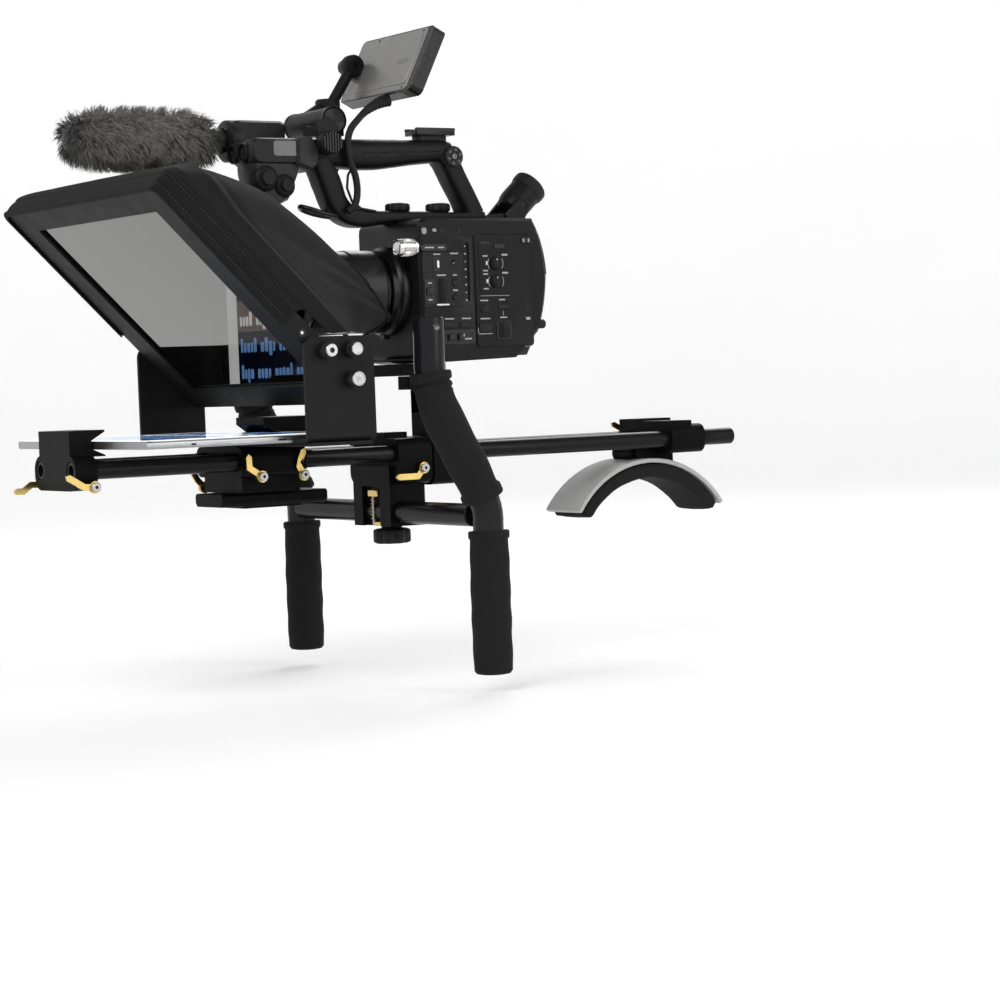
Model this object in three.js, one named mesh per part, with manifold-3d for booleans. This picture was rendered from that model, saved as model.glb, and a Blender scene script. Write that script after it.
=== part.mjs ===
// Shoulder-mounted camera rig: rods, teleprompter, camcorder, handlebar and shoulder pad.
// Millimetres. +X is the operator's left, -Y is where the lens looks, +Z is up.
// The pieces are laid out from the rod axes (z = 0) and the rods' front ends (y = 0);
// the group at the end moves the origin to the underside of the tripod plate.
import * as THREE from 'three';
import { mergeVertices } from 'three/addons/utils/BufferGeometryUtils.js';
import Module from 'manifold-3d';

const wasm = await Module();
wasm.setup();

// ---------------------------------------------------------------- driving dimensions
const GAP = 0.3;                       // clearance between touching pieces
const ROD = { r: 7.5, x: 30, start: 0.6, end: 660 };
const BORE_R = ROD.r + GAP;            // clamp bores round the rods
const FRONT = { depth: 19, half: 40.5, low: -16, high: 12, jawHalf: 30, jawTop: 32, jawTip: 31 };
const BASE = { front: 147, rear: 207, half: 42, low: -25.7, high: 12.7 };
const TRIPOD = { half: 25, front: 136, rear: 235, top: -26, plate: 11, shoe: 2 };
const TABLET = { half: 125.3, front: 22.5, depth: 174.1, thick: 6.4, low: 16.4 };
const BRIDGE = { half: 152, front: 151, rear: 207, low: 13, thick: 3 };
const BRACKET = { outer: 152, thick: 3, front: 148, rear: 211, top: 99.4, foot: 24 };
const FRAME = { half: 145.4, slope: 240, wall: 2.5, side: 32, flange: 22, depth: 15, y: 113.7, z: 129.9 };
const CLAMP = { front: 296, rear: 329, half: 42, collarLow: -26, low: -62 };
const BLOCK = { front: 292, rear: 327, half: 31 };          // hangs under the handlebar clamp
const MOUNT = { front: 331, rear: 354, half: 42, low: -28 };
const BAR = { r: 9.5, y: 304, z: -50, half: 144.9 };
const HANDLE = { x: 158, r: 12.7, gripR: 17, top: 112, bottom: -180 };
const BODY = { half: 52, front: 318, rear: 448, low: 76.6, top: 199 };
const LENS = { z: 139, mount: 316, front: 214, barrelR: 35, ringR: 32.5 };
const PAD = { y: 571, z: -115, r: 98.2, half: 27, shell: 4, foam: 14, reach: 56 };
const PANEL = { w: 120, h: 61, t: 12, y: 327.5, z: 331, x: 3, tilt: -26.7 };

// ---------------------------------------------------------------- materials
const paint = (color, roughness, metalness = 0) =>
  new THREE.MeshStandardMaterial({ color, roughness, metalness });
const anodised = paint(0x1b1b1d, 0.45, 0.6);
const powder = paint(0x222224, 0.6, 0.2);
const brass = paint(0xc9a13c, 0.3, 1);
const steel = paint(0xcfd0d2, 0.25, 1);
const silver = paint(0xb9bbbe, 0.35, 0.9);
const moulding = paint(0x1a1a1b, 0.55);
const greyShell = paint(0x5d5f61, 0.5);
const foam = paint(0x121212, 0.95);
const fabric = paint(0x26262a, 0.95);
const fur = paint(0x55524e, 1);
const glass = paint(0x9a9c9e, 0.05);
const rubber = paint(0x141414, 0.85);

// ---------------------------------------------------------------- solids
const toSolid = (geometry) => {
  const bare = geometry.clone();
  bare.deleteAttribute('normal');
  bare.deleteAttribute('uv');
  const merged = mergeVertices(bare, 1e-4);
  const faces = [];
  const index = merged.index.array;
  for (let i = 0; i < index.length; i += 3) {
    const [a, b, c] = [index[i], index[i + 1], index[i + 2]];
    if (a !== b && b !== c && c !== a) faces.push(a, b, c);
  }
  const vertProperties = new Float32Array(merged.attributes.position.array);
  return new wasm.Manifold(new wasm.Mesh({ numProp: 3, vertProperties, triVerts: new Uint32Array(faces) }));
};
const toGeometry = (manifold) => {
  const mesh = manifold.getMesh();
  const geometry = new THREE.BufferGeometry();
  geometry.setAttribute('position', new THREE.BufferAttribute(mesh.vertProperties, 3));
  geometry.setIndex(new THREE.BufferAttribute(mesh.triVerts, 1));
  geometry.computeVertexNormals();
  return geometry;
};
const join = (first, ...rest) =>
  toGeometry(rest.reduce((sum, piece) => sum.add(toSolid(piece)), toSolid(first)));
const cut = (first, ...rest) =>
  toGeometry(rest.reduce((left, piece) => left.subtract(toSolid(piece)), toSolid(first)));
const common = (first, second) => toGeometry(toSolid(first).intersect(toSolid(second)));

// ---------------------------------------------------------------- shapes
const box = (x0, x1, y0, y1, z0, z1) =>
  new THREE.BoxGeometry(x1 - x0, y1 - y0, z1 - z0)
    .translate((x0 + x1) / 2, (y0 + y1) / 2, (z0 + z1) / 2);

// A solid of revolution from [radius, height] pairs; its axis is +Z until it is turned.
const turned = (profile, segments = 24) =>
  new THREE.LatheGeometry(profile.map(([r, h]) => new THREE.Vector2(r, h)), segments).rotateX(Math.PI / 2);
const alongX = (geometry) => geometry.rotateY(Math.PI / 2);
const alongY = (geometry) => geometry.rotateX(-Math.PI / 2);
const disc = (r, from, to, segments = 24, edge = 0) => turned(edge > 0
  ? [[0, from], [r - edge, from], [r, from + edge], [r, to - edge], [r - edge, to], [0, to]]
  : [[0, from], [r, from], [r, to], [0, to]], segments);
const sleeve = (inner, outer, from, to, segments = 24) =>
  turned([[inner, from], [outer, from], [outer, to], [inner, to], [inner, from]], segments);

// A [y, z] outline pushed along X, and an [x, z] outline pushed along Y.
const outline = (points) => new THREE.Shape(points.map(([a, b]) => new THREE.Vector2(a, b)));
const toSide = new THREE.Matrix4().set(0, 0, 1, 0, 1, 0, 0, 0, 0, 1, 0, 0, 0, 0, 0, 1);
const sidePlate = (shape, x0, x1, bevel = 0) => {
  const options = { depth: x1 - x0 - 2 * bevel, bevelEnabled: bevel > 0, curveSegments: 5 };
  Object.assign(options, { bevelSize: bevel, bevelThickness: bevel, bevelOffset: -bevel, bevelSegments: 1 });
  return new THREE.ExtrudeGeometry(shape, options).applyMatrix4(toSide).translate(x0 + bevel, 0, 0);
};
const frontPlate = (shape, y0, y1) =>
  new THREE.ExtrudeGeometry(shape, { depth: y1 - y0, bevelEnabled: false, curveSegments: 5 })
    .rotateX(Math.PI / 2).translate(0, y1, 0);
const rounded = (a0, a1, b0, b1, r) => {
  const shape = new THREE.Shape();
  shape.moveTo(a0 + r, b0);
  shape.lineTo(a1 - r, b0);
  shape.absarc(a1 - r, b0 + r, r, -Math.PI / 2, 0);
  shape.lineTo(a1, b1 - r);
  shape.absarc(a1 - r, b1 - r, r, 0, Math.PI / 2);
  shape.lineTo(a0 + r, b1);
  shape.absarc(a0 + r, b1 - r, r, Math.PI / 2, Math.PI);
  shape.lineTo(a0, b0 + r);
  shape.absarc(a0 + r, b0 + r, r, Math.PI, Math.PI * 1.5);
  return shape;
};
const rodBores = (y0, y1) => [-ROD.x, ROD.x].map((x) => alongY(disc(BORE_R, y0, y1, 24)).translate(x, 0, 0));

// A straight round bar between two points.
const bar = (from, to, r, segments = 16) => {
  const start = new THREE.Vector3(...from);
  const way = new THREE.Vector3(...to).sub(start);
  const turn = new THREE.Quaternion().setFromUnitVectors(new THREE.Vector3(0, 0, 1), way.clone().normalize());
  return disc(r, 0, way.length(), segments).applyQuaternion(turn).translate(...from);
};

// A left-hand shape turned into its right-hand twin, with its faces still pointing out.
const mirrored = (geometry) => {
  const twin = geometry.toNonIndexed().scale(-1, 1, 1);
  const p = twin.attributes.position;
  for (let i = 0; i < p.count; i += 3) {
    const [x, y, z] = [p.getX(i), p.getY(i), p.getZ(i)];
    p.setXYZ(i, p.getX(i + 1), p.getY(i + 1), p.getZ(i + 1));
    p.setXYZ(i + 1, x, y, z);
  }
  return toGeometry(toSolid(twin));
};

const rig = new THREE.Group();
const add = (name, geometry, material, parent = rig) => {
  const mesh = new THREE.Mesh(geometry, material);
  mesh.name = name;
  parent.add(mesh);
  return mesh;
};

// ---------------------------------------------------------------- rods
for (const [name, x] of [['rod_left', ROD.x], ['rod_right', -ROD.x]]) {
  const thread = { r: 5, depth: 12 };
  const profile = [[0, thread.depth], [thread.r, thread.depth], [thread.r, 0], [ROD.r - 0.6, 0], [ROD.r, 0.6],
    [ROD.r, ROD.end - ROD.start - 0.6], [ROD.r - 0.6, ROD.end - ROD.start], [0, ROD.end - ROD.start]];
  add(name, alongY(turned(profile, 20)), anodised).position.set(x, ROD.start, 0);
}

// ---------------------------------------------------------------- brass cam levers
// The path runs from the pivot boss to the thumb tip, in [y, z].
const camLever = (path) => {
  const half = 2.6;
  const ways = path.slice(1).map(([y, z], i) => Math.atan2(z - path[i][1], y - path[i][0]));
  const edge = (sign) => path.map(([y, z], i) => {
    const before = ways[Math.max(i - 1, 0)];
    const after = ways[Math.min(i, ways.length - 1)];
    const way = (before + after) / 2;
    const reach = (sign * half) / Math.cos((after - before) / 2);
    return [y - reach * Math.sin(way), z + reach * Math.cos(way)];
  });
  const [tipY, tipZ] = path.at(-1);
  const tip = [tipY + half * Math.cos(ways.at(-1)), tipZ + half * Math.sin(ways.at(-1))];
  const blade = sidePlate(outline([...edge(-1), tip, ...edge(1).reverse()]), -1.2, 1.2);
  return join(blade, alongX(disc(5, -2, 2, 14)));
};
const LEVER_X = 45;
const levers = [
  ['front_lever_left', LEVER_X, 13.5, -13, [[0, 0], [-9, 0.5], [-22, 8.5]]],
  ['front_lever_right', -LEVER_X, 10, -12, [[0, 0], [-12, 0.5], [-19, -4.5], [-25, -4.5]]],
  ['base_lever_front_left', LEVER_X, 162.7, -12.2, [[0, 0], [-11.3, 7.5], [-11.7, 16.5]]],
  ['base_lever_rear_left', LEVER_X, 201.5, -12.5, [[0, 0], [-4, 7], [-2.5, 13], [0.5, 19.5]]],
  ['base_lever_right', -LEVER_X, 155, -22, [[0, 0], [-6, 6], [-9.5, 12]]],
  ['handlebar_lever', LEVER_X, 318, -12.6, [[0, 0], [-6, -7], [-25, -7]]],
  ['shoulder_lever', -LEVER_X, 598, 1, [[0, 0], [-7, 8], [-17, 13]]],
];
for (const [name, x, y, z, path] of levers) {
  add(name, camLever(path), brass).position.set(x, y, z);
}

// ---------------------------------------------------------------- front tablet clamp
const frontJaw = outline([[0, FRONT.high - 1], [0, FRONT.jawTop], [FRONT.jawTip, FRONT.jawTop],
  [FRONT.jawTip, FRONT.jawTop - 1.5], [FRONT.depth, 23.4], [FRONT.depth, 17.2],
  [FRONT.jawTip, 11.9], [FRONT.jawTip, 10.8], [FRONT.depth, 10.8], [FRONT.depth, FRONT.high - 1]]);
add('front_clamp', cut(
  join(frontPlate(rounded(-FRONT.half, FRONT.half, FRONT.low, FRONT.high, 12), 0, FRONT.depth),
    sidePlate(frontJaw, -FRONT.jawHalf, FRONT.jawHalf)),
  ...rodBores(-1, FRONT.depth + 1)), anodised);

// ---------------------------------------------------------------- centre clamp and tripod plate
add('base_clamp', cut(
  join(frontPlate(rounded(-BASE.half, BASE.half, -13, BASE.high, 9), BASE.front, BASE.rear),
    box(-34, 34, BASE.front + 3, BASE.rear - 3, BASE.low, -10)),
  ...rodBores(BASE.front - 1, BASE.rear + 1)), anodised);

const tripodPlate = () => {
  const { half, front, rear, top, plate, shoe } = TRIPOD;
  const low = top - plate;
  const bevelled = frontPlate(outline([[-half, low + 3], [-half + 3, low], [half - 3, low], [half, low + 3],
    [half, top - 2], [half - 2, top], [-half + 2, top], [-half, top - 2]]), front, rear);
  const foot = box(-half + 5, half - 5, front + 22, rear - 22, low - shoe, low + 1);
  const middle = (front + rear) / 2;
  const screwHoles = [-16, 16].map((y) => disc(4, low - shoe - 1, low + 5, 16).translate(0, middle + y, 0));
  return cut(join(bevelled, foot), ...screwHoles);
};
add('tripod_plate', tripodPlate(), anodised);

// ---------------------------------------------------------------- bridge, brackets and screw knobs
const bridgeTop = BRIDGE.low + BRIDGE.thick;
add('bridge_plate', box(-BRIDGE.half, BRIDGE.half, BRIDGE.front, BRIDGE.rear, BRIDGE.low, bridgeTop), powder);

const SCREWS = [{ y: 166, z: 88 }, { y: 189, z: 88.6 }, { y: 189.4, z: 65 }];
const bracketLow = bridgeTop + GAP;
const bracket = () => {
  const { outer, thick, foot } = BRACKET;
  const angle = outline([[outer - foot, bracketLow], [outer - 3, bracketLow], [outer, bracketLow + 3],
    [outer, BRACKET.top], [outer - thick, BRACKET.top], [outer - thick, bracketLow + 4],
    [outer - 4, bracketLow + thick], [outer - foot, bracketLow + thick]]);
  const silhouette = rounded(BRACKET.front, BRACKET.rear, bracketLow - 20, BRACKET.top, 9);
  const holes = SCREWS.map(({ y, z }) => alongX(disc(2.8, outer - 6, outer + 1, 16)).translate(0, y, z));
  const folded = frontPlate(angle, BRACKET.front, BRACKET.rear);
  return cut(common(folded, sidePlate(silhouette, 100, outer + 1)), ...holes);
};
const screwKnob = (bodyR, faceR) => alongX(turned([[0, -9.5], [2.4, -9.5], [2.4, 0.35], [bodyR, 0.35],
  [bodyR, 8], [faceR, 8], [faceR, 12.2], [faceR - 0.8, 13], [0, 13]], 14));
for (const [side, sign] of [['left', 1], ['right', -1]]) {
  add(`bracket_${side}`, sign > 0 ? bracket() : mirrored(bracket()), powder);
  SCREWS.forEach(({ y, z }, i) => {
    const knob = add(`screw_knob_${side}_${i + 1}`, screwKnob(6.5, i === 2 ? 6 : 5.2), steel);
    knob.position.set(sign * BRACKET.outer, y, z);
    knob.rotation.y = sign > 0 ? 0 : Math.PI;
  });
}

// ---------------------------------------------------------------- tablet and its rear jaw
const tabletLow = TABLET.low;
add('tablet', frontPlate(rounded(-TABLET.half, TABLET.half, tabletLow, tabletLow + TABLET.thick, 2.4),
  TABLET.front, TABLET.front + TABLET.depth), silver);
const tabletTop = tabletLow + TABLET.thick;
const tabletRear = TABLET.front + TABLET.depth;
add('tablet_rear_jaw', sidePlate(outline([[tabletRear + GAP, bridgeTop + GAP], [226, bridgeTop + GAP],
  [226, 36], [177, 36], [177, 30], [tabletRear - 10, tabletTop + GAP],
  [tabletRear + GAP, tabletTop + GAP]]), -25, 25), anodised);

// ---------------------------------------------------------------- glass frame, glass and hood
// The frame is drawn flat, up the slope along +y with its front at z = 0, then leaned at 45 degrees.
const leaned = new THREE.Group();
leaned.position.set(0, FRAME.y, FRAME.z);
leaned.rotation.x = THREE.MathUtils.degToRad(135);
rig.add(leaned);
const glassFrame = () => {
  const { half, slope, wall, side, flange, depth } = FRAME;
  const top = slope / 2;
  const tray = box(-half, half, -top, top, -depth, 0);
  const hollow = box(-half + wall, half - wall, -top + wall, top - wall, -depth - 1, -wall);
  const view = box(-half + side, half - side, -top + flange, top - flange, -depth, 1);
  // Screw holes on the pivot line, and a slot for the screw that locks the lean.
  const flat = ({ y, z }) => {
    const [back, up] = [y - FRAME.y, z - FRAME.z];
    return [(up - back) / Math.SQRT2, -(back + up) / Math.SQRT2];
  };
  const holes = [-1, 1].flatMap((sign) => [[SCREWS[0], 2.8], [SCREWS[2], 5]].map(([screw, r]) => {
    const [v, w] = flat(screw);
    return alongX(disc(r, half - wall - 1, half + 1, 16)).translate(sign > 0 ? 0 : -2 * half + wall, v, w);
  }));
  return cut(tray, hollow, view, ...holes);
};
add('glass_frame', glassFrame(), powder, leaned);
const [glassHalf, glassTop] = [FRAME.half - 4, FRAME.slope / 2 - 4];
add('beam_splitter', box(-glassHalf, glassHalf, -glassTop, glassTop, -6.5, -2.8), glass, leaned);

// The hood is a tent: an arch over the frame's back that closes to a round arch on the lens.
const hoodArch = (s, t, inset) => {
  const onSide = 0.3;
  const half = FRAME.half + 4 - inset;
  const crest = FRAME.slope / 2 + 5.5 - inset;
  const hem = -45;
  let x;
  let v;
  if (t < onSide) [x, v] = [half, THREE.MathUtils.lerp(hem, crest, t / onSide)];
  else if (t > 1 - onSide) [x, v] = [-half, THREE.MathUtils.lerp(hem, crest, (1 - t) / onSide)];
  else [x, v] = [THREE.MathUtils.lerp(half, -half, (t - onSide) / (1 - 2 * onSide)), crest];
  const w = FRAME.depth + GAP;
  const front = new THREE.Vector3(x, FRAME.y + (w - v) / Math.SQRT2, FRAME.z + (w + v) / Math.SQRT2);
  const round = THREE.MathUtils.degToRad(THREE.MathUtils.lerp(-130, 130, t));
  const r = LENS.barrelR + 5 - inset;
  const mouth = 262 + 12 * (1 - Math.cos(round));
  const lensEdge = new THREE.Vector3(-r * Math.sin(round), mouth, LENS.z + r * Math.cos(round));
  const crown = 16 * Math.sin(Math.PI * s) * Math.cos(round / 2);
  const point = front.lerp(lensEdge, s);
  point.z += crown * Math.max(0, Math.cos(round));
  return point;
};
const hood = () => {
  const rows = 6;
  const columns = 16;
  const thickness = 3;
  const points = [];
  for (const inset of [0, thickness]) {
    for (let i = 0; i <= rows; i += 1) {
      for (let j = 0; j <= columns; j += 1) points.push(hoodArch(i / rows, j / columns, inset));
    }
  }
  const at = (layer, i, j) => (layer * (rows + 1) + i) * (columns + 1) + j;
  const faces = [];
  const quad = (a, b, c, d) => faces.push(a, b, c, a, c, d);
  for (let i = 0; i < rows; i += 1) {
    for (let j = 0; j < columns; j += 1) {
      quad(at(0, i, j), at(0, i + 1, j), at(0, i + 1, j + 1), at(0, i, j + 1));
      quad(at(1, i, j), at(1, i, j + 1), at(1, i + 1, j + 1), at(1, i + 1, j));
    }
    quad(at(0, i, 0), at(1, i, 0), at(1, i + 1, 0), at(0, i + 1, 0));
    quad(at(0, i, columns), at(0, i + 1, columns), at(1, i + 1, columns), at(1, i, columns));
  }
  for (let j = 0; j < columns; j += 1) {
    quad(at(0, 0, j), at(0, 0, j + 1), at(1, 0, j + 1), at(1, 0, j));
    quad(at(0, rows, j), at(1, rows, j), at(1, rows, j + 1), at(0, rows, j + 1));
  }
  const geometry = new THREE.BufferGeometry();
  geometry.setAttribute('position', new THREE.Float32BufferAttribute(points.flatMap((p) => p.toArray()), 3));
  geometry.setIndex(faces);
  return geometry;
};
add('hood', hood(), fabric);

// ---------------------------------------------------------------- handlebar clamp and crossbar
const rodCollar = (y0, y1, low) => frontPlate(rounded(-CLAMP.half, CLAMP.half, low, 13, 9), y0, y1);
const handlebarClamp = () => {
  const { front, rear, low } = CLAMP;
  const block = box(-BLOCK.half, BLOCK.half, BLOCK.front, BLOCK.rear, low, -10);
  const cap = box(-10, 10, 301, 324, 12, 18);
  const slot = box(-16, 13.5, BLOCK.front - 1, BLOCK.front + 5, low - 1, -28);
  const barBore = alongX(disc(BAR.r + GAP, -BLOCK.half - 1, BLOCK.half + 1, 24)).translate(0, BAR.y, BAR.z);
  const body = join(rodCollar(front, rear, CLAMP.collarLow), block, cap);
  return cut(body, slot, barBore, ...rodBores(front - 1, rear + 1));
};
add('handlebar_clamp', handlebarClamp(), anodised);
const lobed = (r, lobes, from, to) => {
  const shape = new THREE.Shape();
  const steps = lobes * 4;
  for (let i = 0; i < steps; i += 1) {
    const a = (i / steps) * Math.PI * 2;
    const reach = r * (i % 4 < 2 ? 1 : 0.93);
    if (i === 0) shape.moveTo(reach, 0);
    else shape.lineTo(reach * Math.cos(a), reach * Math.sin(a));
  }
  return new THREE.ExtrudeGeometry(shape, { depth: to - from, bevelEnabled: false }).translate(0, 0, from);
};
add('handlebar_knob', join(lobed(16.5, 8, -16, -3), disc(9, -3.5, -0.3, 16)), rubber)
  .position.set(0, 311, CLAMP.low);
add('crossbar', alongX(disc(BAR.r, -BAR.half, BAR.half, 20, 0.8)).translate(0, BAR.y, BAR.z), anodised);

// ---------------------------------------------------------------- handles
// Each handle is one bent tube with a ribbed collar, two foam grips and an open top end.
const handleCurve = new THREE.CatmullRomCurve3([[259, HANDLE.top], [259, 90], [259, 68], [265, 42], [280, 12],
  [299, -22], [308, -44], [309, -62], [309, -110], [309, HANDLE.bottom]]
  .map(([y, z]) => new THREE.Vector3(0, y, z)), false, 'centripetal');
const handleLength = handleCurve.getLength();

// A solid of revolution bent along a curve in the YZ plane: the profile is [radius, distance along] pairs.
const bentTurned = (curve, profile, sides = 12) => {
  const points = [];
  const across = new THREE.Vector3(1, 0, 0);
  for (const [r, along] of profile) {
    const u = along / curve.getLength();
    const centre = curve.getPointAt(u);
    const out = curve.getTangentAt(u).cross(across);
    for (let i = 0; i < sides; i += 1) {
      const a = (i / sides) * Math.PI * 2;
      const point = centre.clone().addScaledVector(across, r * Math.cos(a));
      points.push(point.addScaledVector(out, r * Math.sin(a)));
    }
  }
  const faces = [];
  for (let i = 0; i < profile.length - 1; i += 1) {
    for (let j = 0; j < sides; j += 1) {
      const [a, b] = [i * sides + j, i * sides + ((j + 1) % sides)];
      faces.push(a, b + sides, a + sides, a, b, b + sides);
    }
  }
  const geometry = new THREE.BufferGeometry();
  geometry.setAttribute('position', new THREE.Float32BufferAttribute(points.flatMap((p) => p.toArray()), 3));
  geometry.setIndex(faces);
  return toGeometry(toSolid(geometry));
};
const steps = (from, to, count, r) =>
  Array.from({ length: count + 1 }, (_, i) => [r, THREE.MathUtils.lerp(from, to, i / count)]);
const handleTube = () => {
  const { r } = HANDLE;
  const inside = r - 1.8;
  const end = handleLength - 3;
  const profile = [[0, 38], [inside, 38], [inside, 0], [r, 0], ...steps(38, 190, 9, r), [r, end], [0, end]];
  const crossHole = alongX(disc(2.6, -r - 1, r + 1, 10)).translate(0, 259, HANDLE.top - 8);
  return cut(bentTurned(handleCurve, profile), crossHole);
};
const GRIP_GAP = 0.8;
const upperGrip = (from) => {
  const { r, gripR } = HANDLE;
  const to = 158;
  const ribs = [[gripR, from], [gripR, from + 7], [gripR - 2, from + 8], [gripR - 0.6, from + 11],
    [gripR - 0.6, from + 14], [gripR - 2, from + 15]];
  return bentTurned(handleCurve, [...steps(to, from, 7, r + GRIP_GAP), ...ribs,
    ...steps(from + 18, to - 8, 5, gripR - 0.8), [gripR + 0.6, to - 7], [gripR + 0.6, to],
    [r + GRIP_GAP, to]]);
};
const lowerGrip = () => {
  const { r, gripR } = HANDLE;
  const [from, to] = [186, handleLength];
  const wall = r + GRIP_GAP;
  return bentTurned(handleCurve, [[0, to - 2.7], [wall, to - 2.7], [wall, from], [gripR, from],
    [gripR, from + 6], [gripR - 1, from + 7], [gripR - 1, to - 3], [gripR - 3, to], [0, to]]);
};
// The right-hand upper grip sits lower on its tube than the left-hand one.
for (const [side, sign, gripStart] of [['left', 1, 44], ['right', -1, 62]]) {
  const handle = new THREE.Group();
  handle.position.x = sign * HANDLE.x;
  rig.add(handle);
  add(`handle_${side}`, handleTube(), anodised, handle);
  add(`grip_upper_${side}`, upperGrip(gripStart), foam, handle);
  add(`grip_lower_${side}`, lowerGrip(), foam, handle);
}

// ---------------------------------------------------------------- camera support
const mountCollar = rodCollar(MOUNT.front, MOUNT.rear, MOUNT.low);
add('camera_clamp', cut(mountCollar, ...rodBores(MOUNT.front - 1, MOUNT.rear + 1)), anodised);
const postTop = 66 - GAP;
const riser = box(-10, 10, 341, 357, 13 + GAP, postTop);
add('camera_post', join(riser, box(-9, 9, 328, 342, 54, postTop)), anodised);
add('camera_plate', box(-25, 25, 312, 357, postTop + GAP, BODY.low - GAP), anodised);

// ---------------------------------------------------------------- camcorder body
const bodyProfile = () => {
  const shape = new THREE.Shape();
  const { front, rear, low, top } = BODY;
  shape.moveTo(front, low + 8);
  shape.lineTo(front, top - 8);
  shape.quadraticCurveTo(front, top, front + 8, top);
  shape.lineTo(rear - 13, top);
  shape.quadraticCurveTo(rear - 1, 180, rear, 147);
  shape.quadraticCurveTo(rear - 2, 120, rear - 10, 101);
  shape.lineTo(rear - 34, low + 2);
  shape.lineTo(front + 25, low);
  shape.quadraticCurveTo(front + 3, low, front, low + 8);
  return shape;
};
const FINDER = { y: 448, z: 213, lean: -48 };  // the eyepiece's hinge, along X
const DIALS = {
  upper: { y: 393, z: 160 }, lower: { y: 393, z: 144.5 }, button: { y: 351, z: 161 },
  filter: { x: 45.5, z: 174.5, front: 298.5 },  // on the body's front corner, turning about Y
};
const cameraBody = () => {
  const half = BODY.half;
  const shell = sidePlate(bodyProfile(), -half, half, 3);
  const sidePanel = sidePlate(rounded(372, 431, 88, 185, 4), half - 1, half + 1.6, 0.8);
  const finderFoot = box(-15, 15, 424, FINDER.y - 2, 190, 205.5);
  const finderEar = outline([[430, 196], [FINDER.y - 2, 196], [FINDER.y + 6, FINDER.z - 4],
    [FINDER.y + 6, FINDER.z + 3], [FINDER.y + 2, FINDER.z + 6], [FINDER.y - 3, FINDER.z + 6], [430, 204]]);
  const ears = [[-18, -14.4], [14.4, 18]].map(([x0, x1]) => sidePlate(finderEar, x0, x1));
  const finderBore = alongX(disc(3.5, -20, 20, 14)).translate(0, FINDER.y, FINDER.z);
  const well = ({ y, z }) => alongX(disc(7, half, half + 2, 20)).translate(0, y, z);
  const slot = box(half - 1.5, half + 2, 363.5, 367.5, 128, 178);
  const buttonWell = alongX(disc(4.3, half - 5, half + 2, 16)).translate(0, DIALS.button.y, DIALS.button.z);
  return cut(join(shell, sidePanel, finderFoot, ...ears), slot, buttonWell, finderBore,
    well(DIALS.upper), well(DIALS.lower));
};
add('camera_body', cameraBody(), moulding);
const onSide = (geometry, { y, z }) => alongX(geometry).translate(BODY.half, y, z);
add('record_button', onSide(disc(3.9, -2.6, 0.9, 14, 0.4), DIALS.button), steel);
add('nd_dial', alongY(disc(7.5, DIALS.filter.front, BODY.front - GAP, 20, 1.2))
  .translate(DIALS.filter.x, 0, DIALS.filter.z), silver);
for (const key of ['upper', 'lower']) {
  add(`audio_dial_${key}`, onSide(disc(5.6, GAP, 5, 18, 0.7), DIALS[key]), moulding);
}

// ---------------------------------------------------------------- lens
const lensPiece = (name, profile, material, segments = 24) =>
  add(name, alongY(turned(profile, segments)).translate(0, 0, LENS.z), material);
const { mount, front: lensFront, barrelR, ringR } = LENS;
lensPiece('lens_mount', [[20, mount - 14], [ringR + 3, mount - 14], [ringR + 3, mount - 8],
  [ringR + 6, mount - 6], [ringR + 6, BODY.front - GAP], [20, BODY.front - GAP], [20, mount - 14]], moulding);
lensPiece('lens_barrel', [[20, mount - 14.3], [ringR, mount - 14.3], [ringR, 278], [barrelR, 274],
  [barrelR, 252], [29, 251.6], [29, 228.4], [barrelR, 228], [39, 222], [39, lensFront], [34, lensFront],
  [30, lensFront + 14], [20, lensFront + 14], [20, mount - 14.3]].reverse(), greyShell);
lensPiece('focus_ring', [[29.3, 229], [35.6, 229], [35.6, 251], [29.3, 251], [29.3, 229]], rubber);
const [glassFront, glassRear] = [lensFront + 8, lensFront + 14 - GAP];
lensPiece('lens_glass', [[0, glassFront], [15, glassFront + 2.5], [29, glassRear], [0, glassRear]], glass);

// ---------------------------------------------------------------- top handle
const topHandle = () => {
  const half = 13;
  const shape = outline([[236, 268.5], [376, 270.5], [388, 265], [394.5, 254], [414, 208],
    [414, BODY.top + GAP], [322, BODY.top + GAP], [300, 196], [284, 198], [262, 204.5], [257, 209],
    [245, 240], [236, 246]]);
  const grip = outline([[279, 247], [272.5, 238], [271, 226], [276.5, 213], [287, 206.8], [386, 206.8],
    [388, 212], [366, 247], [360, 249.5], [311, 244], [290, 242.5]]);
  shape.holes.push(grip);
  const arch = sidePlate(shape, -half, half, 2);
  const rosette = alongX(disc(8, half - 1, half + 2, 18)).translate(0, 380, 255);
  const shoe = join(box(-7, 7, 352, 376, 269, 274), box(-10, 10, 345, 385, 273.5, 277.5));
  return join(arch, rosette, shoe);
};
add('top_handle', topHandle(), moulding);
for (const [name, y] of [['handle_knob_front', 329], ['handle_knob_rear', 370]]) {
  add(name, lobed(11, 7, 207.3, 215).translate(0, y, 0), moulding);
}

// ---------------------------------------------------------------- eyepiece
const finder = new THREE.Group();
finder.position.set(0, FINDER.y, FINDER.z);
finder.rotation.x = THREE.MathUtils.degToRad(FINDER.lean);
rig.add(finder);
const eyepiece = turned([[0, -5], [10, -5], [14, 3], [14, 19], [15.8, 21], [15.8, 27], [13, 28], [13, 25],
  [0, 25]], 18);
add('viewfinder', join(eyepiece, alongX(disc(3.2, -17.6, 17.6, 14))), moulding, finder);

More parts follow.
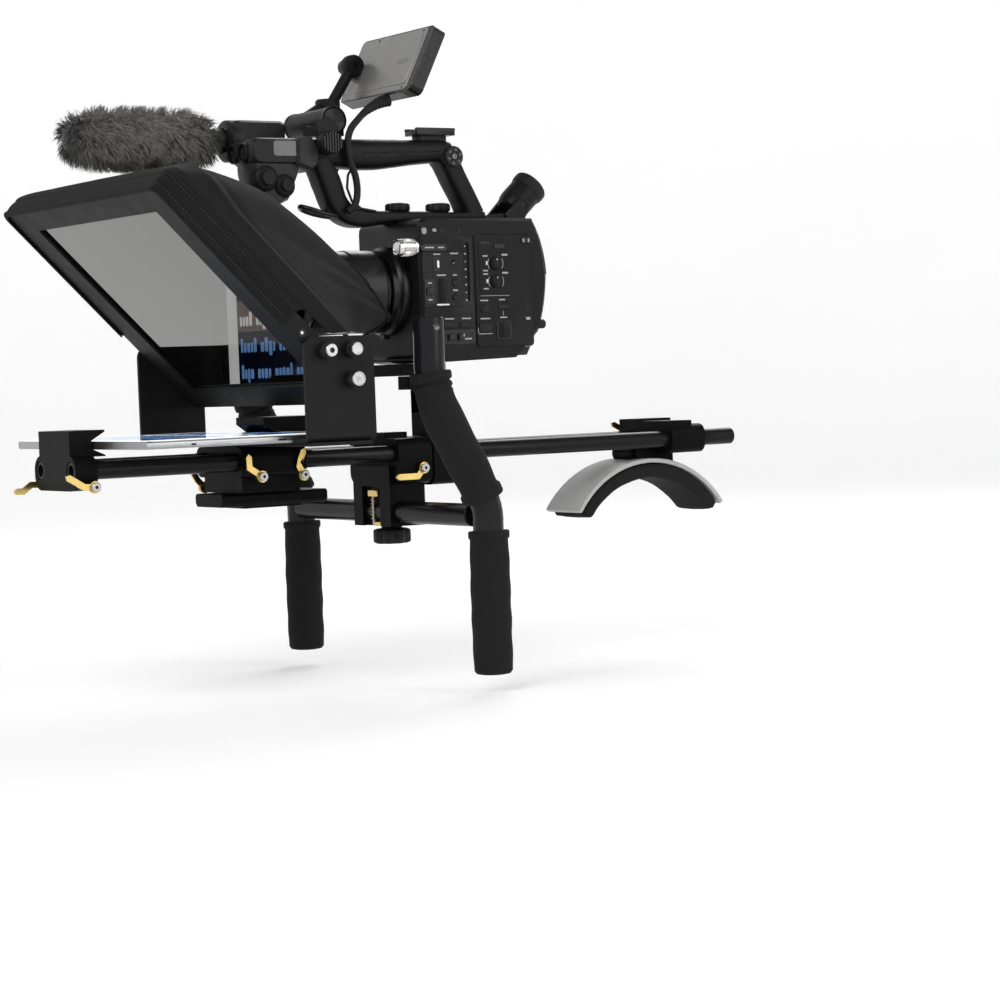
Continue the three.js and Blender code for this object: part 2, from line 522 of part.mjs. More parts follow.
// ---------------------------------------------------------------- microphone and its holder
const MIC = { x: -45, z: 270.5, front: 33, rear: 182, end: 238 };
const audioUnit = () => {
  const shell = sidePlate(outline([[183, 262], [190, 268], [236, 270], [236, 240], [228, 228], [225, 219],
    [216, 213], [202, 213], [195, 222], [191, 236], [183, 250]]), -30, 10, 3);
  const arm = box(-13, 13, 233, 235.7, 240, 268);
  const cradle = box(-54, -26, 212, 250, 252, 286);
  const ring = alongY(disc(17.5, 190, 214, 22)).translate(MIC.x, 0, MIC.z);
  const bore = alongY(disc(11.3, 180, 260, 20)).translate(MIC.x, 0, MIC.z);
  return cut(join(shell, arm, cradle, ring), bore);
};
add('audio_unit', audioUnit(), moulding);
add('microphone', alongY(turned([[0, 150], [10.4, 150], [10.4, 186], [9.6, 188], [9.6, 200], [10.8, 202],
  [10.8, 226], [9, 230], [9, MIC.end], [0, MIC.end]], 18)).translate(MIC.x, 0, MIC.z), greyShell);
add('windscreen', alongY(turned([[0, MIC.front], [12, MIC.front + 3], [21, MIC.front + 12],
  [26, MIC.front + 28], [28, MIC.front + 60], [28, MIC.front + 105], [25, MIC.rear - 16], [19, MIC.rear - 4],
  [12, MIC.rear], [10.8, MIC.rear], [10.8, 149.6], [0, 149.6]], 20)).translate(MIC.x, 0, MIC.z), fur);

// ---------------------------------------------------------------- monitor, its arm and its cable
const BOOM = { y: 262, z: 284 };          // cross tube over the handle's nose
const SWIVEL = { x: -44, y: 289, z: 300 };
const TILT = { y: 313.7, z: 337.5 };  // the monitor's tilt axis, along X, behind its back
const monitorArm = () => {
  const foot = box(-12, 12, 246, 272, 271, 280);
  const boom = alongX(disc(11.5, -54, 14, 20, 1.5)).translate(0, BOOM.y, BOOM.z);
  const ear = box(13.4, 17, 244, 262, 258, 284);
  const knurl = alongX(disc(10, 16, 27, 18, 1)).translate(0, 252, 264);
  const stalk = bar([SWIVEL.x, BOOM.y, BOOM.z], [SWIVEL.x, SWIVEL.y, SWIVEL.z], 9, 14);
  const collar = disc(10.5, SWIVEL.z - 3, SWIVEL.z + 8, 18, 1).translate(SWIVEL.x, SWIVEL.y, 0);
  const upright = bar([-41, SWIVEL.y + 1, SWIVEL.z + 2], [-41, TILT.y, TILT.z], 5, 10);
  const hub = alongX(disc(8.5, -46, -36, 20, 1)).translate(0, TILT.y, TILT.z);
  return join(foot, boom, ear, knurl, stalk, collar, upright, hub);
};
add('monitor_arm', monitorArm(), moulding);

const monitor = new THREE.Group();
monitor.position.set(PANEL.x, PANEL.y, PANEL.z);
monitor.rotation.set(THREE.MathUtils.degToRad(PANEL.tilt), 0, 0);
rig.add(monitor);
const panel = () => {
  const { w, h, t } = PANEL;
  const shell = frontPlate(rounded(-w / 2, w / 2, -h / 2, h / 2, 5), -t / 2, t / 2);
  const screen = box(-w / 2 + 7, w / 2 - 7, t / 2 - 1.2, t / 2 + 1, -h / 2 + 7, h / 2 - 6);
  // The lug on the panel's back that turns against the arm's hub.
  const pivot = new THREE.Vector2(TILT.y - PANEL.y, TILT.z - PANEL.z)
    .rotateAround(new THREE.Vector2(), -THREE.MathUtils.degToRad(PANEL.tilt));
  const lug = alongX(disc(7, -58, -49.3, 16)).translate(0, pivot.x, pivot.y);
  const root = box(-58, -49.3, pivot.x, -t / 2 + 1, pivot.y - 7, pivot.y + 7);
  return cut(join(shell, lug, root), screen);
};
add('monitor_panel', panel(), greyShell, monitor);

// The cable is a thick tube through hand-placed points, from the monitor arm to the handle's foot.
const cableRoute = [[20, 312, 301.6], [19.5, 303, 298.8], [18.5, 291, 292], [18.5, 282, 284],
  [18.5, 275, 276], [18.5, 271.5, 264], [18.5, 273, 250], [18.5, 278, 236], [18.5, 279, 222],
  [18, 276, 211.5], [16.6, 270, 206.8]];
const cable = (route, r, steps) => {
  const path = new THREE.CatmullRomCurve3(route.map((p) => new THREE.Vector3(...p)), false, 'centripetal');
  const section = new THREE.Shape();
  const sides = 8;
  for (let i = 0; i < sides; i += 1) {
    const a = (i / sides) * Math.PI * 2;
    if (i === 0) section.moveTo(r, 0);
    else section.lineTo(r * Math.cos(a), r * Math.sin(a));
  }
  return new THREE.ExtrudeGeometry(section, { steps, extrudePath: path, bevelEnabled: false });
};
add('monitor_cable', cable(cableRoute, 3, 12), rubber);

// ---------------------------------------------------------------- shoulder pad
const padArc = (outer, thick, reach, half) => {
  const ring = alongX(turned([[outer - thick, -half], [outer, -half], [outer, half], [outer - thick, half],
    [outer - thick, -half]], 64));
  const spread = outer + 10;
  const wedgeHalf = spread * Math.sin(THREE.MathUtils.degToRad(reach));
  const wedgeHigh = spread * Math.cos(THREE.MathUtils.degToRad(reach));
  const wedge = sidePlate(outline([[0, 0], [wedgeHalf, wedgeHigh], [wedgeHalf, spread], [-wedgeHalf, spread],
    [-wedgeHalf, wedgeHigh]]), -half - 1, half + 1);
  return common(ring, wedge).translate(0, PAD.y, PAD.z);
};
add('shoulder_shell', padArc(PAD.r, PAD.shell, PAD.reach, PAD.half), greyShell);
add('shoulder_foam', padArc(PAD.r - PAD.shell - GAP, PAD.foam, PAD.reach - 0.5, PAD.half - 1), foam);
const shoulderClamp = () => {
  const [front, rear] = [585, 622];
  const collar = frontPlate(rounded(-BASE.half, BASE.half, -13, 13, 9), front, rear);
  const hump = join(box(-40, -10, front, rear, 11, 18.5), box(-11, 38, front, rear - 12, 11, 16.5));
  const saddle = box(-16, 16, 562, 604, -24, -9);
  const bolt = alongX(disc(7, -13, 13, 16)).translate(0, 563, -12);
  const dome = alongX(disc(PAD.r + GAP, -60, 60, 96)).translate(0, PAD.y, PAD.z);
  return cut(join(collar, hump, saddle, bolt), dome, ...rodBores(front - 40, rear + 1));
};
add('shoulder_clamp', shoulderClamp(), anodised);

rig.position.set(0, -(TRIPOD.front + TRIPOD.rear) / 2, -(TRIPOD.top - TRIPOD.plate - TRIPOD.shoe));
export default rig;
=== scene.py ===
"""Looks for the shoulder camera rig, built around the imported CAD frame.

Positions are written in the rig's layout frame, in millimetres: z = 0 on the rod axes, y = 0 at the
rods' front ends, +X the operator's left. at() turns them into the frame's own metres.
"""
import math
import random

import bmesh
import bpy
from mathutils import Matrix, Vector, noise


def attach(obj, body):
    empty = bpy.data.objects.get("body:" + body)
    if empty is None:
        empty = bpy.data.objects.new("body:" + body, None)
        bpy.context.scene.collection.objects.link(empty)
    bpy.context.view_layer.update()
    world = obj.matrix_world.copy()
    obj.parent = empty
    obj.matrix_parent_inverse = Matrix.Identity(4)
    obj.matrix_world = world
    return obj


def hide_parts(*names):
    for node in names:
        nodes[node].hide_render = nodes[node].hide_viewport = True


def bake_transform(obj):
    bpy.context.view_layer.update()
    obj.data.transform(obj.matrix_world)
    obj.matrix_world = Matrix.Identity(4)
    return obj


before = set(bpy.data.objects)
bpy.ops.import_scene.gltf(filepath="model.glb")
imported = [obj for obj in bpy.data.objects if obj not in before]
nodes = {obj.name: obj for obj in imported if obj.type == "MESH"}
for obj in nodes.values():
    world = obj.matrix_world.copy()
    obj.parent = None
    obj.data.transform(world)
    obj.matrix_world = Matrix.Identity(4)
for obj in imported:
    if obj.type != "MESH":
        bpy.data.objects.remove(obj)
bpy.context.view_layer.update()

MM = 0.001
SHIFT = Vector((0, -185.5, 39))
ACROSS, UP = Vector((1, 0, 0)), Vector((0, 0, 1))


def at(x, y, z):
    return (Vector((x, y, z)) + SHIFT) * MM


# ---------------------------------------- camera and light
CAMERA_AT = Vector((1.99969, -1.05517, 0.10219))
AZIMUTH, ELEVATION, ROLL = math.radians(57.11), math.radians(2.65), math.radians(-2.14)
LENS, SENSOR = 96.66, 36
WORLD_GLOW = 0.34
LAMPS = {"key": ((1.6, -2.0, 2.0), (1.8, 1.4), 41), "side": ((2.4, 1.2, 1.0), (1.2, 1.8), 18),
         "rear": ((-1.4, 1.8, 1.8), (1.6, 1.2), 24)}
LAMPS_AIM = Vector((0, 0.05, 0.12))


def add_camera():
    camera = bpy.data.objects.new("camera", bpy.data.cameras.new("camera"))
    camera.data.lens = LENS
    camera.data.sensor_width = SENSOR
    flat = math.cos(ELEVATION)
    back = Vector((math.sin(AZIMUTH) * flat, -math.cos(AZIMUTH) * flat, math.sin(ELEVATION)))
    level = (-back).cross(UP).normalized()
    upright = level.cross(-back)
    right = level * math.cos(ROLL) + upright * math.sin(ROLL)
    top = upright * math.cos(ROLL) - level * math.sin(ROLL)
    turn = Matrix((right, top, back)).transposed().to_4x4()
    camera.matrix_world = Matrix.Translation(CAMERA_AT) @ turn
    bpy.context.scene.collection.objects.link(camera)
    bpy.context.scene.camera = camera


def add_lamp(name, place, size, power):
    lamp = bpy.data.objects.new(name, bpy.data.lights.new(name, "AREA"))
    lamp.data.shape = "RECTANGLE"
    lamp.data.size, lamp.data.size_y = size
    lamp.data.energy = power
    lamp.location = place
    lamp.rotation_mode = "QUATERNION"
    lamp.rotation_quaternion = (LAMPS_AIM - Vector(place)).to_track_quat("-Z", "Y")
    bpy.context.scene.collection.objects.link(lamp)


add_camera()
for lamp_name, lamp_values in LAMPS.items():
    add_lamp(lamp_name, *lamp_values)
world = bpy.data.worlds.new("studio")
world.use_nodes = True
world.node_tree.nodes["Background"].inputs["Color"].default_value = (1, 1, 1, 1)
world.node_tree.nodes["Background"].inputs["Strength"].default_value = WORLD_GLOW
bpy.context.scene.world = world
bpy.context.scene.view_settings.view_transform = "Standard"


# ---------------------------------------- materials
def helpers(made):
    """The material's shader, and functions that add a node and join two sockets."""
    tree = made.node_tree

    def node(kind, **values):
        new = tree.nodes.new("ShaderNode" + kind)
        for key, value in values.items():
            if hasattr(new, key):
                setattr(new, key, value)
            else:
                new.inputs[key.replace("_", " ").title()].default_value = value
        return new

    return tree.nodes["Principled BSDF"], node, tree.links.new


def graph(name):
    made = bpy.data.materials.new(name)
    made.use_nodes = True
    return made, *helpers(made)


def noise_at(node, link, scale, detail=4, stretch=(1, 1, 1)):
    mapping = node("Mapping", scale=stretch)
    texture = node("TexNoise", scale=scale, detail=detail)
    link(node("TexCoord").outputs["Object"], mapping.inputs["Vector"])
    link(mapping.outputs["Vector"], texture.inputs["Vector"])
    return texture.outputs["Fac"]


def surface(name, colour, rough, metal=0.0, vary=0.25, mottle=70, grain=1400, bump=0.15, wear=None,
            weave=0, sheen=0.0, coat=0.0, stretch=(1, 1, 1), spread=0.1, light_up=0.0, shine=0.22):
    """Mottled colour and roughness with fine grain, and optional weave, edge wear and glow."""
    made, shader, node, link = graph(name)
    for socket, value in (("Metallic", metal), ("Sheen Weight", sheen), ("Coat Weight", coat),
                          ("Coat Roughness", 0.08), ("Specular IOR Level", shine)):
        shader.inputs[socket].default_value = value
    patches = noise_at(node, link, mottle)
    mix = node("Mix", data_type="RGBA")
    mix.inputs[6].default_value = (*[c * (1 - vary) for c in colour], 1)
    mix.inputs[7].default_value = (*[min(1, c * (1 + vary)) for c in colour], 1)
    link(patches, mix.inputs[0])
    tint = mix.outputs[2]
    roughness = node("MapRange", to_min=max(0.02, rough - spread), to_max=min(1, rough + spread))
    link(patches, roughness.inputs["Value"])
    link(roughness.outputs["Result"], shader.inputs["Roughness"])
    if wear:
        edge = node("MapRange", from_min=0.53, from_max=0.62)
        link(node("NewGeometry").outputs["Pointiness"], edge.inputs["Value"])
        rubbed = node("Math", operation="MULTIPLY")
        link(edge.outputs["Result"], rubbed.inputs[0])
        link(noise_at(node, link, 260), rubbed.inputs[1])
        worn = node("Mix", data_type="RGBA")
        worn.inputs[7].default_value = (*wear, 1)
        link(rubbed.outputs[0], worn.inputs[0])
        link(tint, worn.inputs[6])
        tint = worn.outputs[2]
    link(tint, shader.inputs["Base Color"])
    if light_up:
        link(tint, shader.inputs["Emission Color"])
        shader.inputs["Emission Strength"].default_value = light_up
    height = noise_at(node, link, grain, 3, stretch)
    if weave:
        where = node("TexCoord").outputs["Object"]
        for direction in ("DIAGONAL", "Z"):
            threads = node("TexWave", bands_direction=direction, scale=weave, distortion=0.6)
            link(where, threads.inputs["Vector"])
            total = node("Math", operation="ADD")
            link(height, total.inputs[0])
            link(threads.outputs["Fac"], total.inputs[1])
            height = total.outputs[0]
    relief = node("Bump", strength=bump, distance=0.0003)
    link(height, relief.inputs["Height"])
    link(relief.outputs["Normal"], shader.inputs["Normal"])
    return made


anodised = surface("black_anodised", (0.0042, 0.0042, 0.0046), 0.34, bump=0.12, shine=0.035)
gloss_tube = surface("gloss_tube", (0.008, 0.008, 0.009), 0.14, bump=0.02, coat=0.12, spread=0.04, shine=0.12)
rod_black = surface("rod_black", (0.006, 0.006, 0.0065), 0.24, bump=0.03, coat=0.06, spread=0.06, shine=0.1)
powder = surface("powder_coat", (0.0062, 0.0062, 0.0066), 0.52, bump=0.35, grain=2600, shine=0.14)
brass = surface("polished_brass", (0.62, 0.46, 0.16), 0.24, 1.0, vary=0.14, bump=0.08)
steel = surface("bright_steel", (0.37, 0.37, 0.37), 0.28, 1.0, vary=0.08, bump=0.06, stretch=(1, 1, 6))
silver = surface("bead_blasted", (0.36, 0.365, 0.37), 0.36, 1.0, vary=0.06, bump=0.08, grain=3200)
chrome = surface("chromed_metal", (0.6, 0.585, 0.57), 0.14, 1.0, vary=0.05, bump=0.03)
moulding = surface("moulded_black", (0.0054, 0.0054, 0.0056), 0.4, bump=0.3, grain=2200,
                   wear=(0.05, 0.05, 0.05), shine=0.13)
smooth_black = surface("smooth_black", (0.0045, 0.0045, 0.0048), 0.26, bump=0.05, spread=0.06)
grey_shell = surface("satin_grey", (0.115, 0.117, 0.118), 0.4, vary=0.12, bump=0.12, wear=(0.25, 0.25, 0.25))
lens_paint = surface("lens_paint", (0.009, 0.009, 0.0095), 0.3, vary=0.12, bump=0.1)
pad_shell = surface("pad_shell", (0.36, 0.362, 0.357), 0.38, vary=0.1, bump=0.1)
panel_grey = surface("panel_grey", (0.17, 0.168, 0.158), 0.3, 0.35, vary=0.08, bump=0.05, shine=0.5)
foam = surface("closed_cell_foam", (0.007, 0.007, 0.007), 0.88, vary=0.35, mottle=300, grain=1100, bump=0.7)
rubber = surface("black_rubber", (0.006, 0.006, 0.006), 0.58, bump=0.25)
cloth = surface("hood_cloth", (0.0095, 0.0092, 0.0092), 0.93, vary=0.3, mottle=24, grain=900, bump=0.55,
                weave=620, sheen=0.05, shine=0.08)
thread = surface("stitching", (0.045, 0.044, 0.043), 0.7, bump=0.3)
white_mark = surface("white_print", (0.33, 0.33, 0.32), 0.5, vary=0.1, bump=0.02)
red_mark = surface("red_print", (0.35, 0.03, 0.03), 0.5, vary=0.1, bump=0.02)
# The white bezel glows though it is no lamp: painted light that brightens it and its reflection in the
# mirror. The pale letters of the row under the painted reflection share it.
glowing_bezel = surface("tablet_bezel_painted_glow", (0.75, 0.75, 0.74), 0.12, vary=0.03, bump=0.01, light_up=1.1, coat=0.6)
screen_blue = surface("tablet_screen", (0.003, 0.005, 0.016), 0.08, vary=0.6, mottle=9, bump=0.0,
                      light_up=0.7, coat=1.0)
screen_text = surface("tablet_lines", (0.16, 0.34, 0.7), 0.2, vary=0.1, bump=0.0, light_up=1.0, coat=1.0)
# A warm brown band painted on the screen where the lamp's reflection lies: a painted reflection.
screen_reflection_band = surface("tablet_painted_reflection", (0.2, 0.14, 0.115), 0.2, vary=0.3, mottle=14, bump=0.0,
                      light_up=0.6, coat=1.0)
dark_glass = surface("dark_glass", (0.006, 0.006, 0.007), 0.06, vary=0.1, bump=0.0, coat=1.0, spread=0.02)
coated_glass = surface("lens_coating", (0.012, 0.008, 0.03), 0.03, vary=0.6, mottle=40, bump=0.0, coat=1.0,
                       spread=0.01)


def half_silvered():
    """A beam splitter: part mirror, part clear."""
    made, shader, node, link = graph("half_silvered")
    shader.inputs["Base Color"].default_value = (0.18, 0.18, 0.176, 1)
    shader.inputs["Metallic"].default_value = 1.0
    shader.inputs["Alpha"].default_value = 0.96
    rough = node("MapRange", to_min=0.005, to_max=0.02)
    link(noise_at(node, link, 9), rough.inputs["Value"])
    link(rough.outputs["Result"], shader.inputs["Roughness"])
    return made


def distance_map(node, link, centre, keep, near, far, low=0.0, high=1.0):
    """A value that goes from low to high with distance from centre, measured along the kept axes."""
    shift = node("VectorMath", operation="SUBTRACT")
    shift.inputs[1].default_value = centre
    flat = node("VectorMath", operation="MULTIPLY")
    flat.inputs[1].default_value = keep
    reach = node("VectorMath", operation="LENGTH")
    share = node("MapRange", from_min=near, from_max=far, to_min=low, to_max=high)
    link(node("TexCoord").outputs["Object"], shift.inputs[0])
    link(shift.outputs[0], flat.inputs[0])
    link(flat.outputs[0], reach.inputs[0])
    link(reach.outputs["Value"], share.inputs["Value"])
    return share.outputs["Result"]


def fur_material(axis_point):
    """Grey fur, dark at the skin and paler at the tips, by distance from the windscreen's own axis."""
    made, shader, node, link = graph("fur")
    paler = node("Math", operation="MULTIPLY")
    link(distance_map(node, link, axis_point, (1, 0, 1), 0.016, 0.03), paler.inputs[0])
    link(noise_at(node, link, 420), paler.inputs[1])
    ramp = node("ValToRGB")
    skin, tips = ramp.color_ramp.elements
    skin.color = (0.008, 0.0075, 0.007, 1)
    tips.position = 0.75
    tips.color = (0.26, 0.25, 0.232, 1)
    link(paler.outputs[0], ramp.inputs["Fac"])
    link(ramp.outputs["Color"], shader.inputs["Base Color"])
    shader.inputs["Roughness"].default_value = 0.9
    shader.inputs["Sheen Weight"].default_value = 0.3
    return made


def floor_material():
    """Pale paint that glows a little more with distance, where the lamps reach it less."""
    made = surface("studio_floor", (0.86, 0.86, 0.86), 0.7, vary=0.015, mottle=2, bump=0.0, light_up=0.2)
    shader, node, link = helpers(made)
    glow = distance_map(node, link, (0, 0, 0), (1, 1, 1), 1.6, 4.6, 0.2, 0.34)
    link(glow, shader.inputs["Emission Strength"])
    return made


# ---------------------------------------- mesh tools
class Piece:
    """Geometry for one object, in layout millimetres, with a material index per part."""

    def __init__(self, local=None):
        self.verts, self.faces, self.slots = [], [], []
        self.local = local or Matrix.Identity(4)

    def add(self, verts, faces, slot=0):
        base = len(self.verts)
        self.verts += [self.local @ Vector(v) for v in verts]
        self.faces += [[base + i for i in f] for f in faces]
        self.slots += [slot] * len(faces)
        return self

    def mesh(self, name):
        made = bpy.data.meshes.new(name)
        made.from_pydata([at(*v) for v in self.verts], [], self.faces)
        made.polygons.foreach_set("material_index", self.slots)
        made.validate()
        shape = bmesh.new()
        shape.from_mesh(made)
        bmesh.ops.recalc_face_normals(shape, faces=shape.faces)
        shape.to_mesh(made)
        shape.free()
        return made

    def box(self, x0, x1, y0, y1, z0, z1, slot=0):
        verts = [(x, y, z) for x in (x0, x1) for y in (y0, y1) for z in (z0, z1)]
        faces = [(0, 1, 3, 2), (4, 6, 7, 5), (0, 4, 5, 1), (2, 3, 7, 6), (0, 2, 6, 4), (1, 5, 7, 3)]
        return self.add(verts, faces, slot)

    def prism(self, outline, axis, low, high, slot=0, inset=0.0):
        """An outline of (a, b) pairs pushed along an axis; inset chamfers both ends."""
        n = len(outline)
        ca = sum(p[0] for p in outline) / n
        cb = sum(p[1] for p in outline) / n
        rings = [(low, 1), (high, 1)]
        if inset:
            small = 1 - inset / max(math.hypot(a - ca, b - cb) for a, b in outline)
            rings = [(low, small), (low + inset, 1), (high - inset, 1), (high, small)]
        verts = []
        for h, k in rings:
            for a, b in outline:
                verts.append(along(axis, h, ca + (a - ca) * k, cb + (b - cb) * k))
        faces = [list(range(n)), list(range(len(verts) - n, len(verts)))]
        for r in range(len(rings) - 1):
            faces += [(r * n + i, r * n + (i + 1) % n, (r + 1) * n + (i + 1) % n, (r + 1) * n + i)
                      for i in range(n)]
        return self.add(verts, faces, slot)

    def lathe(self, profile, axis, centre, segments=40, slot=0):
        """(radius, height) pairs turned about an axis; an end at radius 0 closes to a point."""
        verts, faces, rings = [], [], []
        for r, h in profile:
            ring = []
            for i in range(1 if r == 0 else segments):
                a = math.tau * i / segments
                verts.append(Vector(centre) + Vector(along(axis, h, r * math.cos(a), r * math.sin(a))))
                ring.append(len(verts) - 1)
            rings.append(ring)
        for one, two in zip(rings, rings[1:]):
            for i in range(segments):
                j = (i + 1) % segments
                if len(one) > 1 and len(two) > 1:
                    faces.append((one[i], one[j], two[j], two[i]))
                elif len(one) > 1:
                    faces.append((one[i], one[j], two[0]))
                elif len(two) > 1:
                    faces.append((one[0], two[j], two[i]))
        return self.add(verts, faces, slot)

    def knob(self, r, low, high, axis, centre, ribs=24, depth=0.5, slot=0, edge=0.6):
        """A ribbed grip: a short cylinder whose rim is cut into ribs."""
        outline = []
        for i in range(ribs * 4):
            a = math.tau * i / (ribs * 4)
            k = r - (depth if i % 4 in (2, 3) else 0)
            outline.append((k * math.cos(a), k * math.sin(a)))
        before = len(self.verts)
        self.prism(outline, axis, low, high, slot, edge)
        move = self.local.to_3x3() @ Vector(centre)
        self.verts[before:] = [v + move for v in self.verts[before:]]
        return self

    def tube(self, points, radius, segments=12, slot=0):
        """A round tube along points; radius is one number or one for each point."""
        points = [Vector(p) for p in points]
        sizes = radius if isinstance(radius, list) else [radius] * len(points)
        rows = []
        side = None
        for i, p in enumerate(points):
            way = (points[min(i + 1, len(points) - 1)] - points[max(i - 1, 0)]).normalized()
            if side is None:
                side = way.cross(ACROSS if abs(way.x) < 0.9 else UP).normalized()
            side = (side - way * side.dot(way)).normalized()
            other = way.cross(side)
            rows.append([p + (side * math.cos(a) + other * math.sin(a)) * sizes[i]
                         for a in (math.tau * k / segments for k in range(segments))])
        self.sheet(rows, slot, closed=True)
        last = len(self.verts)
        for start in (last - len(rows) * segments, last - segments):
            self.faces.append(list(range(start, start + segments)))
            self.slots.append(slot)
        return self

    def sheet(self, rows, slot=0, closed=False):
        """A grid of points, as rows of equal length."""
        n = len(rows[0])
        faces = []
        for i in range(len(rows) - 1):
            for j in range(n if closed else n - 1):
                k = (j + 1) % n
                faces.append((i * n + j, i * n + k, (i + 1) * n + k, (i + 1) * n + j))
        return self.add([p for row in rows for p in row], faces, slot)

    def loops(self, rows, slot=0):
        """Closed rows joined into a skin, with a face over each end that isn't a point."""
        self.sheet(rows, slot, closed=True)
        for row in (rows[0], rows[-1]):
            if (Vector(row[0]) - Vector(row[len(row) // 2])).length > 0.1:
                self.add(row, [tuple(range(len(row)))], slot)
        return self


def along(axis, h, p, q):
    """A point h along the named axis and (p, q) across it."""
    return {"x": (h, p, q), "y": (p, h, q), "z": (p, q, h)}[axis]


def flipped(side, profile):
    """A lathe profile with its heights on the given side, +1 or -1."""
    return [(r, side * h) for r, h in profile]


def soften(obj, width=0.4, angle=38, weld=False):
    """Smooth shading with crisp edges, and a small bevel on the sharp ones."""
    data = obj.data
    data.polygons.foreach_set("use_smooth", [True] * len(data.polygons))
    if weld:
        modifier = obj.modifiers.new("weld", "WELD")
        modifier.merge_threshold = 2e-6
    if width:
        modifier = obj.modifiers.new("bevel", "BEVEL")
        modifier.width = width * MM
        modifier.segments = 2
        modifier.limit_method = "ANGLE"
        modifier.angle_limit = math.radians(angle)
        modifier.harden_normals = True
        modifier.use_clamp_overlap = True


def place(name, piece, materials, body="rig", slot=None, replaces=(), bevel=0.0, angle=38):
    """Makes the object, gives it its look and puts it on its CAD body."""
    data = piece.mesh(name)
    obj = bpy.data.objects.new(name, data)
    bpy.context.scene.collection.objects.link(obj)
    for material in materials:
        data.materials.append(material)
    data.polygons.foreach_set("use_smooth", [True] * len(data.polygons))
    data.set_sharp_from_angle(angle=math.radians(angle))
    if bevel:
        soften(obj, bevel, angle)
    if replaces:
        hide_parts(*replaces)
    if body:
        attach(obj, body)
    return obj


def dress(node, material, width):
    """A carried CAD node with its look: softened edges and a procedural material."""
    obj = nodes[node]
    obj.data.materials.clear()
    obj.data.materials.append(material)
    while obj.data.attributes.get("custom_normal"):
        obj.data.attributes.remove(obj.data.attributes["custom_normal"])
    soften(obj, width, weld=True)


def rounded(a0, a1, b0, b1, r, n=5):
    """A rounded rectangle as (a, b) pairs."""
    points = []
    corners = ((a1 - r, b0 + r, -90), (a1 - r, b1 - r, 0), (a0 + r, b1 - r, 90), (a0 + r, b0 + r, 180))
    for ca, cb, start in corners:
        for i in range(n + 1):
            a = math.radians(start + 90 * i / n)
            points.append((ca + r * math.cos(a), cb + r * math.sin(a)))
    return points


def curve(points, count):
    """A smooth line through points at equal steps along its length (centripetal Catmull-Rom)."""
    pts = [Vector(p) for p in points]
    pts = [2 * pts[0] - pts[1], *pts, 2 * pts[-1] - pts[-2]]
    dense = []
    for p0, p1, p2, p3 in zip(pts, pts[1:], pts[2:], pts[3:]):
        knots = [0]
        for a, b in ((p0, p1), (p1, p2), (p2, p3)):
            knots.append(knots[-1] + max((b - a).length, 1e-6) ** 0.5)
        t0, t1, t2, t3 = knots
        for i in range(40):
            t = t1 + (t2 - t1) * i / 40
            a1 = p0 * ((t1 - t) / (t1 - t0)) + p1 * ((t - t0) / (t1 - t0))
            a2 = p1 * ((t2 - t) / (t2 - t1)) + p2 * ((t - t1) / (t2 - t1))
            a3 = p2 * ((t3 - t) / (t3 - t2)) + p3 * ((t - t2) / (t3 - t2))
            b1 = a1 * ((t2 - t) / (t2 - t0)) + a2 * ((t - t0) / (t2 - t0))
            b2 = a2 * ((t3 - t) / (t3 - t1)) + a3 * ((t - t1) / (t3 - t1))
            dense.append(b1 * ((t2 - t) / (t2 - t1)) + b2 * ((t - t1) / (t2 - t1)))
    dense.append(pts[-2])
    reach = [0.0]
    for a, b in zip(dense, dense[1:]):
        reach.append(reach[-1] + (b - a).length)
    out, k = [], 0
    for i in range(count + 1):
        want = reach[-1] * i / count
        while k < len(dense) - 2 and reach[k + 1] < want:
            k += 1
        share = (want - reach[k]) / max(reach[k + 1] - reach[k], 1e-9)
        out.append(dense[k].lerp(dense[k + 1], min(1, share)))
    return out, reach[-1]


# ---------------------------------------- monitor cable and its boot
CABLE_ROUTE = ((20, 312, 301.6), (19.5, 303, 298.8), (18.5, 291, 292), (18.5, 282, 284), (18.5, 275, 276),
               (18.5, 271.5, 264), (18.5, 273, 250), (18.5, 278, 236), (18.5, 279, 222), (18, 276, 211.5),
               (16.6, 270, 206.8))
CABLE_R = 3.0
BOOT_RINGS = 48
cable_line, cable_length = curve(CABLE_ROUTE, 28)
lead = Piece()
lead.tube(curve(CABLE_ROUTE, 110)[0], CABLE_R, 20)
monitor_lead = place("monitor_lead", lead, [rubber], None, "rubber", ("monitor_cable",))
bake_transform(monitor_lead)


def boot_radius(k):
    rib = 0.35 if k % 6 < 3 and 10 < k < 42 else 0
    return 3.15 + 2.6 * (1 - k / (BOOT_RINGS - 1)) ** 1.3 + rib


boot = Piece()
boot.tube(curve(CABLE_ROUTE[:4], 60)[0][:BOOT_RINGS], [boot_radius(k) for k in range(BOOT_RINGS)], 24)
place("cable_boot", boot, [rubber], "monitor_panel", "rubber")

# ---------------------------------------- floor: a round bowl with a curved foot
FLOOR_Z, FLAT_R, COVE_R, WALL_TOP = -195, 3500, 1500, 4200
sweep = [(0, FLOOR_Z), (FLAT_R / 2, FLOOR_Z), (FLAT_R, FLOOR_Z)]
for degrees in range(10, 91, 10):
    a = math.radians(degrees)
    sweep.append((FLAT_R + COVE_R * math.sin(a), FLOOR_Z + COVE_R * (1 - math.cos(a))))
sweep.append((FLAT_R + COVE_R, WALL_TOP))
floor = place("floor", Piece().lathe(sweep, "z", (0, 185.5, 0), 96), [floor_material()], None)

